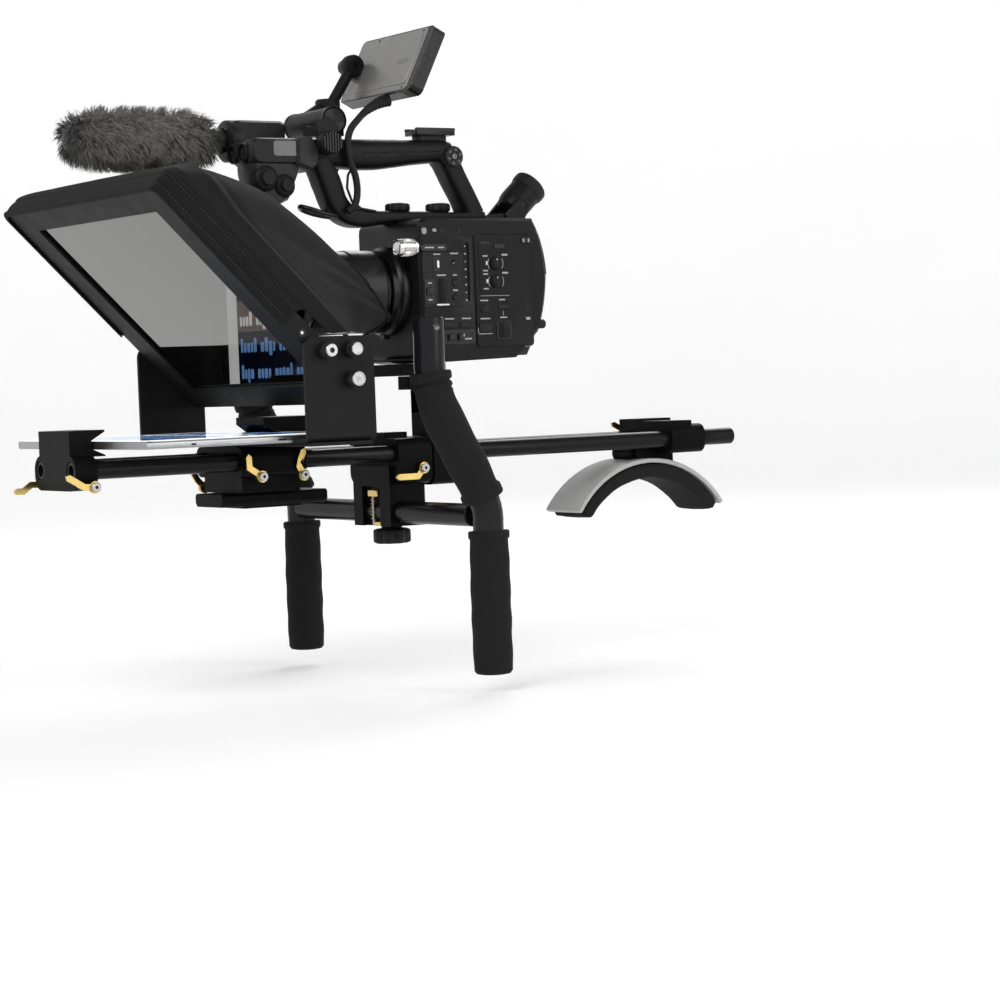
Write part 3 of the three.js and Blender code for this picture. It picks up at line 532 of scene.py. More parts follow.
# ---------------------------------------- carried CAD nodes: (names, material, bevel width)
LEVER_PIVOTS = {
    "front_lever_left": (45, 13.5, -13), "front_lever_right": (-45, 10, -12),
    "base_lever_front_left": (45, 162.7, -12.2), "base_lever_rear_left": (45, 201.5, -12.5),
    "base_lever_right": (-45, 155, -22), "handlebar_lever": (45, 318, -12.6), "shoulder_lever": (-45, 598, 1),
}
CARRIED = (
    (("rod_left", "rod_right", "crossbar"), rod_black, 0.3),
    (("front_clamp", "base_clamp", "tripod_plate", "tablet_rear_jaw", "handlebar_clamp", "camera_clamp",
      "camera_post", "camera_plate", "shoulder_clamp"), anodised, 0.7),
    (("bridge_plate", "bracket_left", "bracket_right", "glass_frame"), powder, 0.6),
    (("tablet",), silver, 1.2),
    (("camera_body",), moulding, 0.8),
    (("monitor_arm",), moulding, 0.7),
    (("monitor_panel",), smooth_black, 0.9),
    (("microphone",), lens_paint, 0.4),
    (("shoulder_shell",), pad_shell, 1.2),
    (("record_button",), steel, 0.2),
    (tuple(LEVER_PIVOTS), brass, 0.5),
    (("beam_splitter",), half_silvered(), 0),
)
for names, material, width in CARRIED:
    for name in names:
        dress(name, material, width)
mirror_faces = nodes["beam_splitter"].data.polygons
mirror_faces.foreach_set("use_smooth", [False] * len(mirror_faces))


# ---------------------------------------- screws on the cam levers
def hex_screw(piece, centre, side, r, high, socket, slot=0, dark=1):
    """A socket-head screw along X: a rim round a hexagonal well, whose walls and floor are painted black as
    shade in the recess.
    """
    x, y, z = centre

    def ring(size, out, hexagon=False):
        row = []
        for i in range(36):
            a = math.tau * i / 36
            k = size * (math.cos(math.pi / 6) / math.cos(a % (math.pi / 3) - math.pi / 6) if hexagon else 1)
            row.append((x + side * out, y + k * math.cos(a), z + k * math.sin(a)))
        return row

    rim = ring(socket, high, True)
    bottom = ring(socket, high - 1.2, True)
    piece.sheet([ring(r, 0), ring(r, high - 0.5), ring(r - 0.5, high), rim], slot, closed=True)
    # the well's walls and floor: painted shade in the recess, in the dark slot
    piece.sheet([rim, bottom], dark, closed=True)
    piece.add(bottom, [tuple(range(36))], dark)


for name, (x, y, z) in LEVER_PIVOTS.items():
    side = 1 if x > 0 else -1
    screw = Piece()
    hex_screw(screw, (x + side * 2, y, z), side, 3.9, 2.6, 1.5)
    place("screw_on_" + name, screw, [steel, smooth_black], name, "steel")

# ---------------------------------------- screw knobs on the brackets: (y, z, face radius)
SCREWS = ((166, 88, 5.2), (189, 88.6, 5.2), (189.4, 65, 6))
BRACKET_FACE_X = 152


def screw_knob(i, y, z, face, s):
    """A rubber-collared knob; the first has a socket head and the third a cross of shallow bars."""
    knob = Piece()
    centre = (s * BRACKET_FACE_X, y, z)
    x = centre[0]
    stem = [(0, -9.5), (2.4, -9.5), (2.4, 0.35), (6.5, 0.35), (6.7, 0.9), (6.7, 7.4), (6.1, 8), (face, 8)]
    knob.lathe(flipped(s, stem), "x", centre)
    if i == 0:
        knob.lathe(flipped(s, [(face, 8), (face, 12.4)]), "x", centre, slot=1)
        hex_screw(knob, (x + s * 12.3, y, z), s, face, 0.7, 2.4, 1, 2)
        return knob
    head = [(face, 8), (face, 12.3), (face - 0.5, 13), (face - 1.2, 13), (face - 1.5, 12.6), (0, 12.6)]
    knob.lathe(flipped(s, head), "x", centre, slot=1)
    if i == 2:
        for turn in range(3):
            a = math.radians(60 * turn + 20)
            dy, dz = 3.4 * math.cos(a), 3.4 * math.sin(a)
            knob.tube([(x + s * 12.6, y - dy, z - dz), (x + s * 12.6, y + dy, z + dz)], 0.5, 6, 1)
    return knob


for side, sign in (("left", 1), ("right", -1)):
    for i, (y, z, face) in enumerate(SCREWS):
        body = f"screw_knob_{side}_{i + 1}"
        place(f"knob_{side}_{i + 1}", screw_knob(i, y, z, face, sign), [rubber, steel, smooth_black], body,
              "steel", (body,))

# ---------------------------------------- handles and foam grips
HANDLE_PATH = [(0, 259, 112), (0, 259, 90), (0, 259, 68), (0, 265, 42), (0, 280, 12), (0, 299, -22),
               (0, 308, -44), (0, 309, -62), (0, 309, -110), (0, 309, -180)]
HANDLE_X, HANDLE_STEPS = 158, 600
TUBE_R, GRIP_R = 12.7, 17
UPPER_FROM, UPPER_TO, LOWER_FROM = {"left": 44, "right": 62}, 158, 186
handle_line, handle_length = curve(HANDLE_PATH, HANDLE_STEPS)


def bent(profile, shift_x, ripple=0.0, sides=40):
    """A (radius, distance along) profile turned round the handle's bent line."""
    rows = []
    for r, distance in profile:
        u = max(0, min(HANDLE_STEPS - 0.001, distance / handle_length * HANDLE_STEPS))
        i = int(u)
        centre = handle_line[i].lerp(handle_line[i + 1], u - i) + Vector((shift_x, 0, 0))
        way = (handle_line[min(HANDLE_STEPS, i + 2)] - handle_line[max(0, i - 1)]).normalized()
        out = way.cross(ACROSS)
        row = []
        for j in range(sides):
            a = math.tau * j / sides
            wave = ripple * noise.noise(Vector((math.cos(a) * 1.2, math.sin(a) * 1.2, distance / 16)))
            reach = r + (wave if r > TUBE_R + 2 else 0)
            row.append(centre + (ACROSS * math.cos(a) + out * math.sin(a)) * reach)
        rows.append(row)
    return Piece().loops(rows)


def span(a, b, step, r):
    count = max(1, round(abs(b - a) / step))
    return [(r, a + (b - a) * i / count) for i in range(count + 1)]


def grooved(base, offsets, start):
    """Profile points (offset from the grip's radius, distance past start)."""
    return base + [(GRIP_R + out, start + on) for out, on in offsets]


def upper_profile(start, to):
    """A grip with two grooves at its top, a swollen middle and a thick collar at its end."""
    profile = [(TUBE_R + 0.8, to), *span(to, start, 5, TUBE_R + 0.8)]
    profile = grooved(profile, [(-0.8, 0), (0, 1), (0, 6), (-0.6, 7.2), (-2.2, 8), (-2.2, 9), (-0.8, 10.5),
                                (-0.5, 13), (-1.9, 14.8), (-1.9, 15.6), (-1, 17)], start)
    for i in range(20):
        u = i / 19
        swell = 0.9 * math.sin(math.pi * u) ** 2 - 0.5 * math.cos(math.tau * 2 * u)
        profile.append((GRIP_R - 0.9 + swell * 0.8, start + 19 + (to - 9 - start - 19) * u))
    return grooved(profile, [(-0.4, -7.5), (0.5, -6.5), (0.6, -1), (0, 0)], to)


def lower_profile(start, to):
    """A closed grip with a collar at its top and four finger swells."""
    profile = [(0.05, to - 2.7), (TUBE_R + 0.8, to - 2.7), (TUBE_R + 0.8, start)]
    profile = grooved(profile, [(-0.6, 0), (0, 0.8), (0, 5.4), (-1.2, 6.6), (-1.2, 7.4)], start)
    for i in range(22):
        u = i / 21
        swell = 0.35 * math.sin(math.pi * u) - 0.25 * math.cos(math.tau * 4 * u)
        profile.append((GRIP_R - 0.9 + swell, start + 9 + (to - start - 15) * u))
    return grooved(profile, [(-1.2, -3), (-3, -0.6), (-6, 0)], to) + [(0.05, to)]


for side, sign in (("left", 1), ("right", -1)):
    x = sign * HANDLE_X
    tube = bent([*span(38, 0.6, 6, TUBE_R - 1.8), (TUBE_R - 1.5, 0), (TUBE_R - 0.4, 0), (TUBE_R, 0.5),
                 *span(2, handle_length - 3, 5, TUBE_R)], x)
    for s in (-1, 1):
        tube.lathe(flipped(s, [(0, 12.75), (2.2, 12.75), (2.7, 12.82), (3, 12.5)]), "x", (x, 259, 104), 24, 1)
    place(f"tube_{side}", tube, [gloss_tube, dark_glass], f"handle_{side}", "anodised", (f"handle_{side}",))
    for level, profile, ripple in (("upper", upper_profile(UPPER_FROM[side], UPPER_TO), 0.35),
                                   ("lower", lower_profile(LOWER_FROM, handle_length), 0.3)):
        grip = place(f"{level}_foam_{side}", bent(profile, x, ripple), [foam], f"handle_{side}", "foam",
                     (f"grip_{level}_{side}",), angle=50)

# ---------------------------------------- tablet glass
TABLET_HALF, TABLET_Y0, TABLET_Y1, TABLET_Z = 125.3, 22.5, 196.6, 22.8
SCREEN_IN, SCREEN_Z = 20, TABLET_Z + 0.6
# The last two are the row of text and the band of the screen under the painted reflection of the lamp.
ROW_COUNT, ROW_PITCH, REFLECTED_ROW, REFLECTION_BAND = 6, 23, 2, (111, 138)
glass_top = Piece()
glass_top.prism(rounded(0.8 - TABLET_HALF, TABLET_HALF - 0.8, TABLET_Y0 + 0.8, TABLET_Y1 - 0.8, 8), "z",
                TABLET_Z - 0.05, TABLET_Z + 0.5, 0, 0.3)
screen_x = TABLET_HALF - SCREEN_IN
glass_top.prism(rounded(-screen_x, screen_x, TABLET_Y0 + 9, TABLET_Y1 - 9, 1), "z",
                TABLET_Z + 0.5, TABLET_Z + 0.58, 1)
# the painted reflection: a warm band across one row of text
glass_top.prism(rounded(-screen_x, screen_x, *REFLECTION_BAND, 0.5, 2), "z", TABLET_Z + 0.58, SCREEN_Z, 3)


def bars_for_words():
    """Rows of upright bars, in groups like words, that stand for the prompter's text."""
    lines = random.Random(4)
    for row in range(ROW_COUNT):
        foot = TABLET_Y1 - 30 - row * ROW_PITCH
        x = -TABLET_HALF + 25
        while x < TABLET_HALF - 40:
            for _ in range(lines.randint(3, 6)):
                wide, tall = lines.uniform(3.6, 6.4), lines.choice((8.5, 8.5, 12.5))
                if x + wide > TABLET_HALF - 26:
                    break
                up = foot + 12.5 if tall < 9 or lines.random() < 0.6 else foot + 16
                glass_top.prism(rounded(x, x + wide, up - tall, up, 1.7, 4), "z", SCREEN_Z, SCREEN_Z + 0.04,
                                0 if row == REFLECTED_ROW else 2)
                x += wide + 1.5
            x += 6


bars_for_words()
glass_top.lathe([(0, TABLET_Z + 0.62), (4.6, TABLET_Z + 0.62), (5, TABLET_Z + 0.5)], "z",
                (TABLET_HALF - 10, (TABLET_Y0 + TABLET_Y1) / 2, 0), 24, 4)
place("tablet_face", glass_top, [glowing_bezel, screen_blue, screen_text, screen_reflection_band, dark_glass])
edge = Piece()
for y in (70, 98.6, 110):
    edge.prism(rounded(y - 6, y + 6, 17.9, 20.2, 1.1, 3), "x", TABLET_HALF - 0.2, TABLET_HALF + 0.35, 0, 0.15)
for y in (64, 140):
    edge.prism(rounded(y - 4, y + 4, 18.4, 19.8, 0.7, 3), "x", TABLET_HALF - 0.1, TABLET_HALF + 0.12, 1)
place("tablet_keys", edge, [silver, smooth_black], bevel=0.1)

# ---------------------------------------- camcorder: the near side
SIDE, PANEL_X = 52.0, 53.6
controls, marks = Piece(), Piece()


def plate(base, y0, y1, z0, z1, low, high, r=1.5, slot=0, edge=0.3):
    """A rounded plate on the camera's side, from low to high out of the base plane."""
    r = min(r, (y1 - y0) / 2.01, (z1 - z0) / 2.01)
    controls.prism(rounded(y0, y1, z0, z1, r), "x", base + low, base + high, slot, edge)


def dash(base, y, z, width, high=1.1, slot=0):
    """A short bar where a word is printed on the real one."""
    y0, y1, z0, z1 = y - width / 2, y + width / 2, z - high / 2, z + high / 2
    r = min(0.3, (y1 - y0) / 2.01, (z1 - z0) / 2.01)
    marks.prism(rounded(y0, y1, z0, z1, r), "x", base - 0.05, base + 0.06, slot)


def button(x, y, z, r, tall=1.4):
    controls.lathe([(r + 1.1, x - 0.1), (r + 1.1, x + 0.35), (r + 0.4, x + 0.35), (r + 0.3, x - 0.05),
                    (r, x - 0.05), (r, x + tall - 0.4), (r - 0.5, x + tall), (0, x + tall - 0.15)], "x",
                   (0, y, z), 28)


def arc(x, y, z, r, start, stop, width=0.5):
    for a in range(start, stop, 12):
        b = min(stop, a + 12)
        corners = [(y + k * math.cos(math.radians(t)), z + k * math.sin(math.radians(t)))
                   for k, t in ((r, a), (r, b), (r + width, b), (r + width, a))]
        marks.prism(corners, "x", x - 0.05, x + 0.06)


# (y0, y1, z0, z1, low, high, corner, material, chamfer) on the front block, then on the raised panel
SIDE_PLATES = (
    (320, 360.5, 123.5, 170.5, -0.2, 0.9, 3), (317.5, 345, 170.6, 177, -0.2, 2.6, 3.2, 1, 0.8),
    (330.6, 337.2, 153.5, 166, 0.5, 1.25, 1, 1, 0.2), (333.6, 336, 156.5, 163, 1.2, 2.4, 0.8, 2, 0.3),
    (320.8, 331.6, 125.8, 147.6, 0.5, 1.5, 1.6, 1, 0.4), (322.6, 329.8, 133.2, 140, 1.4, 2.6, 0.8, 0, 0.5),
    (332.2, 345, 124.6, 126, 0.5, 2.2, 0.6, 2, 0.3), (338.6, 352.6, 105.6, 110, -0.1, 1.5, 1.4, 0, 0.5),
    (355.6, 369.6, 105.6, 110, -0.1, 1.5, 1.4, 0, 0.5), (338.5, 371, 91.6, 103.4, -0.1, 0.5, 2.4),
    (340, 369.5, 93, 102, 0.4, 0.6, 1.6, 1, 0), (343, 348.4, 94.4, 100.4, 0.5, 2.6, 1, 0, 0.5),
    (353, 358.6, 94.4, 100.4, 0.5, 3, 1, 0, 0.6), (320.6, 325.6, 185, 191, -0.2, 0.9, 2, 3, 0.4),
    (331, 335.4, 187, 190.2, -0.2, 1.2, 1.4, 3, 0.4),
)
PANEL_PLATES = (
    (376.2, 407.4, 133.4, 180, -0.2, 0.35, 2), (378.5, 387.5, 176.8, 178.6, 0.3, 0.5, 0.5, 1, 0),
    (391.6, 402.8, 172.6, 176.6, 0.3, 1.3, 1.6, 1, 0.4), (393.6, 405, 121, 124.4, -0.1, 1, 1.2, 0, 0.4),
    (374.4, 387, 101, 108.6, -0.1, 1.3, 1.2, 0, 0.4), (391.8, 407.4, 94.6, 110.6, -0.1, 0.6, 2.4, 1),
    (419.8, 430.6, 176.8, 182.2, -0.2, 1.1, 2, 1, 0.4),
)
# (height of the surface, then y, z, width, bar height, material)
SIDE_DASHES = (
    (2.6, 326.5, 173.8, 9), (2.6, 338, 173.8, 6), (0.9, 334.6, 168.2, 7), (0.9, 338.4, 150.4, 9),
    (0.9, 352, 168.8, 8), (0.9, 352, 150.4, 4), (0.9, 352, 137.4, 5), (1.5, 326.3, 143.8, 4),
    (1.5, 326.3, 129.6, 4), (0, 345.6, 113.2, 9), (0, 362.6, 113.2, 9), (3, 357.8, 99, 1, 2.6),
    (0.6, 363.6, 95.8, 7, 1.3), (-0.6, 338.5, 194, 9.6, 1), (-0.6, 356, 194, 11.2, 1),
    (-0.5, 330.5, 193.6, 5, 1.4, 1),
)
PANEL_DASHES = (
    (0.05, 391.6, 132.2, 30, 0.35), (0, 380.3, 128.2, 8), (0, 398.6, 128.6, 6), (0, 399.4, 116.8, 0.5, 4),
    (0, 380.8, 99.6, 14, 0.6), (0, 373.3, 102.6, 0.6, 5), (0, 380.8, 112.6, 10), (0, 399.6, 113.4, 7),
    (1.1, 422.4, 179.5, 1.2, 3), (1.1, 427.6, 179.5, 1.2, 3), (0, 424.6, 112, 5, 2.2),
)
DIALS = {"audio_dial_upper": (393, 160), "audio_dial_lower": (393, 144.5)}
for base, plates, dashes in ((SIDE, SIDE_PLATES, SIDE_DASHES), (PANEL_X, PANEL_PLATES, PANEL_DASHES)):
    for values in plates:
        plate(base, *values)
    for height, *values in dashes:
        dash(base + height, *values)
for k in range(8):
    dash(SIDE + 0.03, 363.6, 175 - k * 6.6, 1.5 if k % 2 else 0.9, 1.4)
for _, z in DIALS.values():
    plate(PANEL_X, 380.6, 384.4, z - 2.3, z + 2.7, 0.3, 0.8, 0.6, 1, 0.1)
    plate(PANEL_X, 382.4, 384, z - 1.6, z + 1.9, 0.7, 1.7, 0.4, 2, 0.2)
    for start, stop in ((150, 215), (-35, 30)):
        arc(PANEL_X + 0.35, 393, z, 7.5, start, stop)
    for y, up, width, high in ((382.6, 6.3, 5, 1.1), (382.6, -6.3, 5, 1.1), (402.6, 7.2, 6, 1.5)):
        dash(PANEL_X + 0.35, y, z + up, width, high)
for values in ((SIDE + 0.9, 352.1, 143.8, 3.4), (SIDE + 0.9, 351.8, 131.4, 2.9), (PANEL_X, 380.3, 121.2, 3.6),
               (PANEL_X, 415.5, 111.5, 1.3, 0.8), (PANEL_X, 420.5, 111.5, 1.3, 0.8)):
    button(*values)
controls.knob(5.6, 126, 147.4, "z", (49.2, 338.6, 0), 26)
controls.knob(8.4, 96, 109.2, "z", (48.4, 399.6, 0), 30)
for y in (341.6, 358):
    controls.lathe([(0, SIDE - 0.05), (1.7, SIDE + 0.08), (2.2, SIDE + 0.3), (2.6, SIDE + 0.05)], "x",
                   (0, y, 189), 20, 1)
place("body_controls", controls, [moulding, smooth_black, steel, panel_grey], slot="moulding")
place("body_marks", marks, [white_mark, red_mark])

# seams of the mouldings, ports and feet
seams = Piece()
seams.tube([(52.05, y, 185.6 - 0.5 * math.sin((y - 320) / 40)) for y in range(322, 436, 4)], 0.35, 6)
seams.tube([(52.05, y, 117.4) for y in range(322, 372, 4)], 0.35, 6)
seams.prism(rounded(436.5, 446, 103, 111, 3.6), "x", 30, 51, 1, 1.2)
seams.prism([(322, 78.5), (428, 80.5), (432, 88), (320, 86)], "x", -46, 46, 1, 1)
for x in (-50.6, 50.6):
    seams.prism(rounded(326, 404, 79.8, 83.6, 1.6), "x", x - 1.2, x + 1.2, 1, 0.5)
place("body_seams", seams, [smooth_black, moulding])

# ---------------------------------------- camcorder: the far side's card door, vent, sockets and lug screws
far = Piece()


def far_plate(y0, y1, z0, z1, corner, high, low=-0.3, slot=0, edge=0.4):
    """A rounded plate from low to high out of the camera's far face."""
    far.prism(rounded(y0, y1, z0, z1, corner), "x", -SIDE - high, -SIDE - low, slot, edge)


far_plate(372, 428, 92, 182, 5, 1.5, edge=0.8)
for z in (98, 119, 140, 161):
    far_plate(377, 421, z, z + 17, 3, 2.6, 1.2, 1, 0.6)
    far_plate(381, 385, z + 5.5, z + 11.5, 1.6, 3.4, 2.4)
far_plate(322, 364, 128, 180, 4, 0.9)
for k in range(9):
    far_plate(327, 359, 133 + k * 4.9, 135.2 + k * 4.9, 1, 1.9, 0.8, 1)
far_plate(322, 364, 92, 122, 3, 1.2, slot=1, edge=0.5)
SOCKET_COVER = [(5.4, SIDE + 0.6), (5.2, SIDE + 2.6), (4, SIDE + 3), (0, SIDE + 2.9)]
LUG_SCREW = [(3.4, SIDE - 1), (3.4, SIDE + 1.4), (2.8, SIDE + 2), (1.2, SIDE + 2), (1, SIDE + 1),
             (0, SIDE + 1)]
for y in (334, 351):
    far.lathe(flipped(-1, SOCKET_COVER), "x", (0, y, 107), 36)
for y in (330, 412):
    far.lathe(flipped(-1, LUG_SCREW), "x", (0, y, 189 - (y - 330) * 0.01), 28, 2)
place("far_side_covers", far, [moulding, smooth_black, steel], slot="moulding")

# ---------------------------------------- camcorder: the battery plate and its rails on the curved back
back_parts = Piece()


def back_y(z):
    return 448 - (13 * ((z - 147) / 52) ** 2 if z > 147 else 10 * ((147 - z) / 46) ** 1.72)


def back_slab(x0, x1, z0, z1, tall, slot=0, low=-0.6, edge=0.5):
    """A plate on the camera's curved back."""
    steps = max(2, round((z1 - z0) / 3))
    rows = []
    for i in range(steps + 1):
        z = z0 + (z1 - z0) * i / steps
        y = back_y(z)
        rows.append([(x0, y + low, z), (x0, y + tall - edge, z), (x0 + edge, y + tall, z),
                     (x1 - edge, y + tall, z), (x1, y + tall - edge, z), (x1, y + low, z)])
    back_parts.loops(rows, slot)


back_slab(-38, 38, 113, 187, 1.5)
for x in (-27, 21):
    back_slab(x, x + 6, 120, 178, 3.6, 1, 1.2)
    for z in (128, 150, 172):
        back_slab(x - 1.5, x + 7.5, z - 4, z + 4, 4.6, 1, 1.2)
back_slab(-11, 11, 121, 131, 3.4, 1, 1.2)
for k in range(5):
    back_slab(-8 + 3.6 * k, -6.4 + 3.6 * k, 123, 129, 4, 2, 3, 0.2)
back_slab(-13, 13, 176, 183, 3.8, 0, 1.2, 1)
back_slab(40, 49, 150, 186, 1.2, 1)
for x in (-34, 34):
    for z in (118, 182):
        y = back_y(z)
        back_parts.lathe([(2.3, y + 0.5), (2.3, y + 1.7), (1.8, y + 2), (0, y + 1.9)], "y", (x, 0, z), 24, 2)
place("battery_plate", back_parts, [moulding, smooth_black, steel], slot="moulding")

# ---------------------------------------- the ribbed silver dial and the two audio dials
FILTER = (45.5, 0, 174.5)
dial = Piece()
dial.lathe([(0, 299.4), (4.6, 299.4), (4.9, 298.9), (6, 298.6), (6.9, 299.2), (7.2, 300), (7.2, 303.4),
            (6.7, 303.8)], "y", FILTER, 48)
dial.knob(7.6, 303.6, 315.4, "y", FILTER, 26, 0.5, 0, 0.4)
dial.lathe([(6.8, 315.2), (7.3, 315.8), (7.3, 317.4), (0, 317.6)], "y", FILTER, 48)
place("filter_dial", dial, [chrome], "nd_dial", "silver", ("nd_dial",), angle=35)
for name, (y, z) in DIALS.items():
    dial = Piece()
    dial.knob(5.7, 52.35, 56.2, "x", (0, y, z), 24, 0.35, 0, 0.4)
    dial.lathe([(4.6, 56.1), (4.3, 57), (0, 57)], "x", (0, y, z), 30)
    dial.lathe([(0, 57.08), (0.75, 57.08), (0.8, 56.9)], "x", (0, y, z + 3.2), 16, 1)
    dial.box(56.9, 57.3, y - 0.5, y + 0.5, z - 3, z + 1.8)
    place(name + "_cap", dial, [moulding, white_mark], name, "moulding", (name,), 0.1)

# ---------------------------------------- lens
LENS_Z = 139
AXIS = ("y", (0, 0, LENS_Z), 72)
barrel = Piece()
barrel.lathe([(20, 302), (31, 301.7), (31.4, 301), (33.6, 299.6), (33.8, 297.4), (33.4, 296.9), (35.2, 296)],
             *AXIS, 1)
barrel.lathe([(35.2, 296), (35.6, 295.4), (35.6, 271), (35, 270.5), (34.6, 270.1), (34.6, 269.2), (35, 268.8),
              (35, 252.2), (34.4, 251.7), (29, 251.6), (29, 228.4), (34.4, 228.3), (35, 227.8), (35.4, 226.6),
              (38.4, 222.6), (39, 221.4), (39, 214.8), (38.4, 214.1), (34.6, 214)], *AXIS)
barrel.lathe([(34.6, 214), (34, 214.5), (33.6, 218), (33, 218), (32.4, 222), (31.8, 222), (30.4, 227.5),
              (29, 227.7), (20, 228)], *AXIS, 1)
barrel.lathe([(20, 228), (20, 302)], *AXIS, 1)
place("barrel", barrel, [lens_paint, smooth_black], "rig", "grey_shell", ("lens_barrel",), angle=30)
index = Piece()
MARK_R = 35.66
LENS_MARKS = ((-24, -20, 285.8, 287.6), (-60, -33, 286.4, 287), (8, 11, 264, 266.4), (-14, -6, 264, 265))
for a0, a1, h0, h1 in LENS_MARKS:
    turns = [math.radians(a) for a in range(a0, a1 + 1)]
    index.sheet([[(MARK_R * math.cos(a), h, LENS_Z + MARK_R * math.sin(a)) for h in (h0, h1)] for a in turns])
place("lens_index", index, [white_mark])
mount = Piece()
mount.lathe([(20, 302), (35.5, 302), (35.5, 307.4), (36.2, 308.4), (38.2, 310), (38.5, 311), (38.5, 317.2),
             (38, 317.7), (20, 317.7), (20, 302)], *AXIS)
mount.box(-4, 4, 308.5, 314, LENS_Z - 41, LENS_Z - 37)
place("mount_ring", mount, [smooth_black], "rig", "moulding", ("lens_mount",), angle=30)
ring = Piece()
ring.knob(35.5, 231.5, 248.5, "y", (0, 0, LENS_Z), 90, 0.7, 0, 0.3)
ring.lathe([(29.3, 229), (35, 229), (35.6, 229.6), (35.6, 231.4), (34.8, 231.8), (34.8, 248.2), (35.6, 248.6),
            (35.6, 250.4), (35, 251), (29.3, 251), (29.3, 229)], *AXIS)
place("focus_grip", ring, [rubber], "focus_ring", "rubber", ("focus_ring",), angle=30)
lens = Piece()
lens.lathe([(0, 222), (6, 222.3), (12, 223.1), (18, 224.4), (24, 226), (29, 227.5), (29, 227.7), (0, 227.7)],
           *AXIS)
place("front_lens", lens, [coated_glass], "rig", "lens_glass", ("lens_glass",))

# ---------------------------------------- carrying handle, shoe and hook
# bars of the handle's loop: (y, z, half thickness, half width) stations, then how square the section is
GRIP_BAR = ((238, 257.4, 10.6, 12.2), (244, 257.3, 12.4, 13), (262, 257.2, 12.6, 13), (284, 256.4, 13.2, 13),
            (306, 256.6, 13, 13), (330, 258, 12, 13), (352, 259.3, 10.8, 13), (368, 260, 10.2, 13),
            (379, 258.8, 10, 12.6))
REAR_BAR = ((371, 261, 9.6, 12.4), (378, 253, 9.4, 12.6), (387, 236, 9.2, 12.4), (396, 220, 9, 12.4),
            (403, 205, 9.6, 12.8))
FRONT_BAR = ((250, 252, 9, 12.6), (256, 240, 10.5, 12.4), (261, 228, 9.6, 12.2), (266, 215, 8.6, 12.2),
             (276, 205.4, 6.2, 12.6), (290, 202, 5, 13), (312, 202.4, 4.6, 13), (340, 203.2, 3.9, 13),
             (392, 203.6, 3.7, 13), (411, 204, 4, 12.8))
FRONT_SEAM = ((279.5, 246), (274, 238), (272.6, 227), (277, 215.5), (286, 209.6), (300, 207.4))
PIVOT_Y, PIVOT_Z = 380, 255


def superellipse(angle, wide, tall, power):
    """The two offsets of a point on a squared-off ellipse."""
    c, s = math.cos(angle), math.sin(angle)
    return wide * math.copysign(abs(c) ** power, c), tall * math.copysign(abs(s) ** power, s)


def bar_sweep(piece, stations, power, steps=64, sides=48):
    """A rounded bar through (y, z, half thickness, half width) stations."""
    line, _ = curve([(0, y, z) for y, z, *_ in stations], steps)
    rows = []
    for i in range(steps + 1):
        way = (line[min(steps, i + 1)] - line[max(0, i - 1)]).normalized()
        up = ACROSS.cross(way)
        where = i / steps * (len(stations) - 1)
        k = min(len(stations) - 2, int(where))
        thick, wide = (a + (b - a) * (where - k) for a, b in zip(stations[k][2:], stations[k + 1][2:]))
        row = []
        for j in range(sides):
            out, rise = superellipse(math.tau * j / sides, wide, thick, 2 / power)
            row.append(line[i] + ACROSS * out + up * rise)
        rows.append(row)
    piece.loops(rows)


carrier = Piece()
bar_sweep(carrier, GRIP_BAR, 2.7)
bar_sweep(carrier, REAR_BAR, 4.2)
bar_sweep(carrier, FRONT_BAR, 4.2)
for s in (-1, 1):
    for z in (254.2, 257.2):
        carrier.tube([(s * 12.9, y, z + (y - 292) * 0.03) for y in range(290, 366, 5)], 0.5, 8, 1)
    carrier.tube([(s * 12.6, y, z) for y, z in FRONT_SEAM], 1.1, 10)
    carrier.prism(rounded(345, 385, 277.2, 280, 1.2), "x", *sorted((s * 7.6, s * 10)), 1, 0.3)
    cap = [(9.2, 11.6), (9.2, 14.4), (8.4, 15.2), (3.2, 15.2), (3, 14.4), (0, 14.4)]
    carrier.lathe(flipped(s, cap), "x", (0, PIVOT_Y, PIVOT_Z), 48)
    for k in range(6):
        a = math.tau * k / 6 + 0.3
        hole = (0, PIVOT_Y + 5.9 * math.cos(a), PIVOT_Z + 5.9 * math.sin(a))
        carrier.lathe(flipped(s, [(1.5, 15.25), (1.45, 15.3), (1.3, 15.22), (0, 15.22)]), "x", hole, 14, 2)
    pin = [(2.6, 14.6), (2.4, 15.4), (1.4, 15.4), (1.2, 14.8), (0, 14.8)]
    carrier.lathe(flipped(s, pin), "x", (0, PIVOT_Y, PIVOT_Z), 24, 2)
carrier.prism(rounded(-7, 7, 350, 378, 2), "z", 268, 274.2, 0, 0.5)
carrier.prism(rounded(-10, 10, 345, 385, 1.5), "z", 273.6, 277.5, 1, 0.4)
place("carry_handle", carrier, [moulding, smooth_black, dark_glass, steel], "rig", "moulding",
      ("top_handle",), angle=45)
hook = Piece()
half_loop = [(-5, 281, 203.4), (-7, 268, 203.6), (-8, 252, 206), (-7, 239, 209.8)]
loop = half_loop + [(0, 233.8, 212)] + [(-x, y, z) for x, y, z in reversed(half_loop)]
hook.tube(curve(loop, 60)[0], 2.1, 14)
place("hook_loop", hook, [lens_paint])

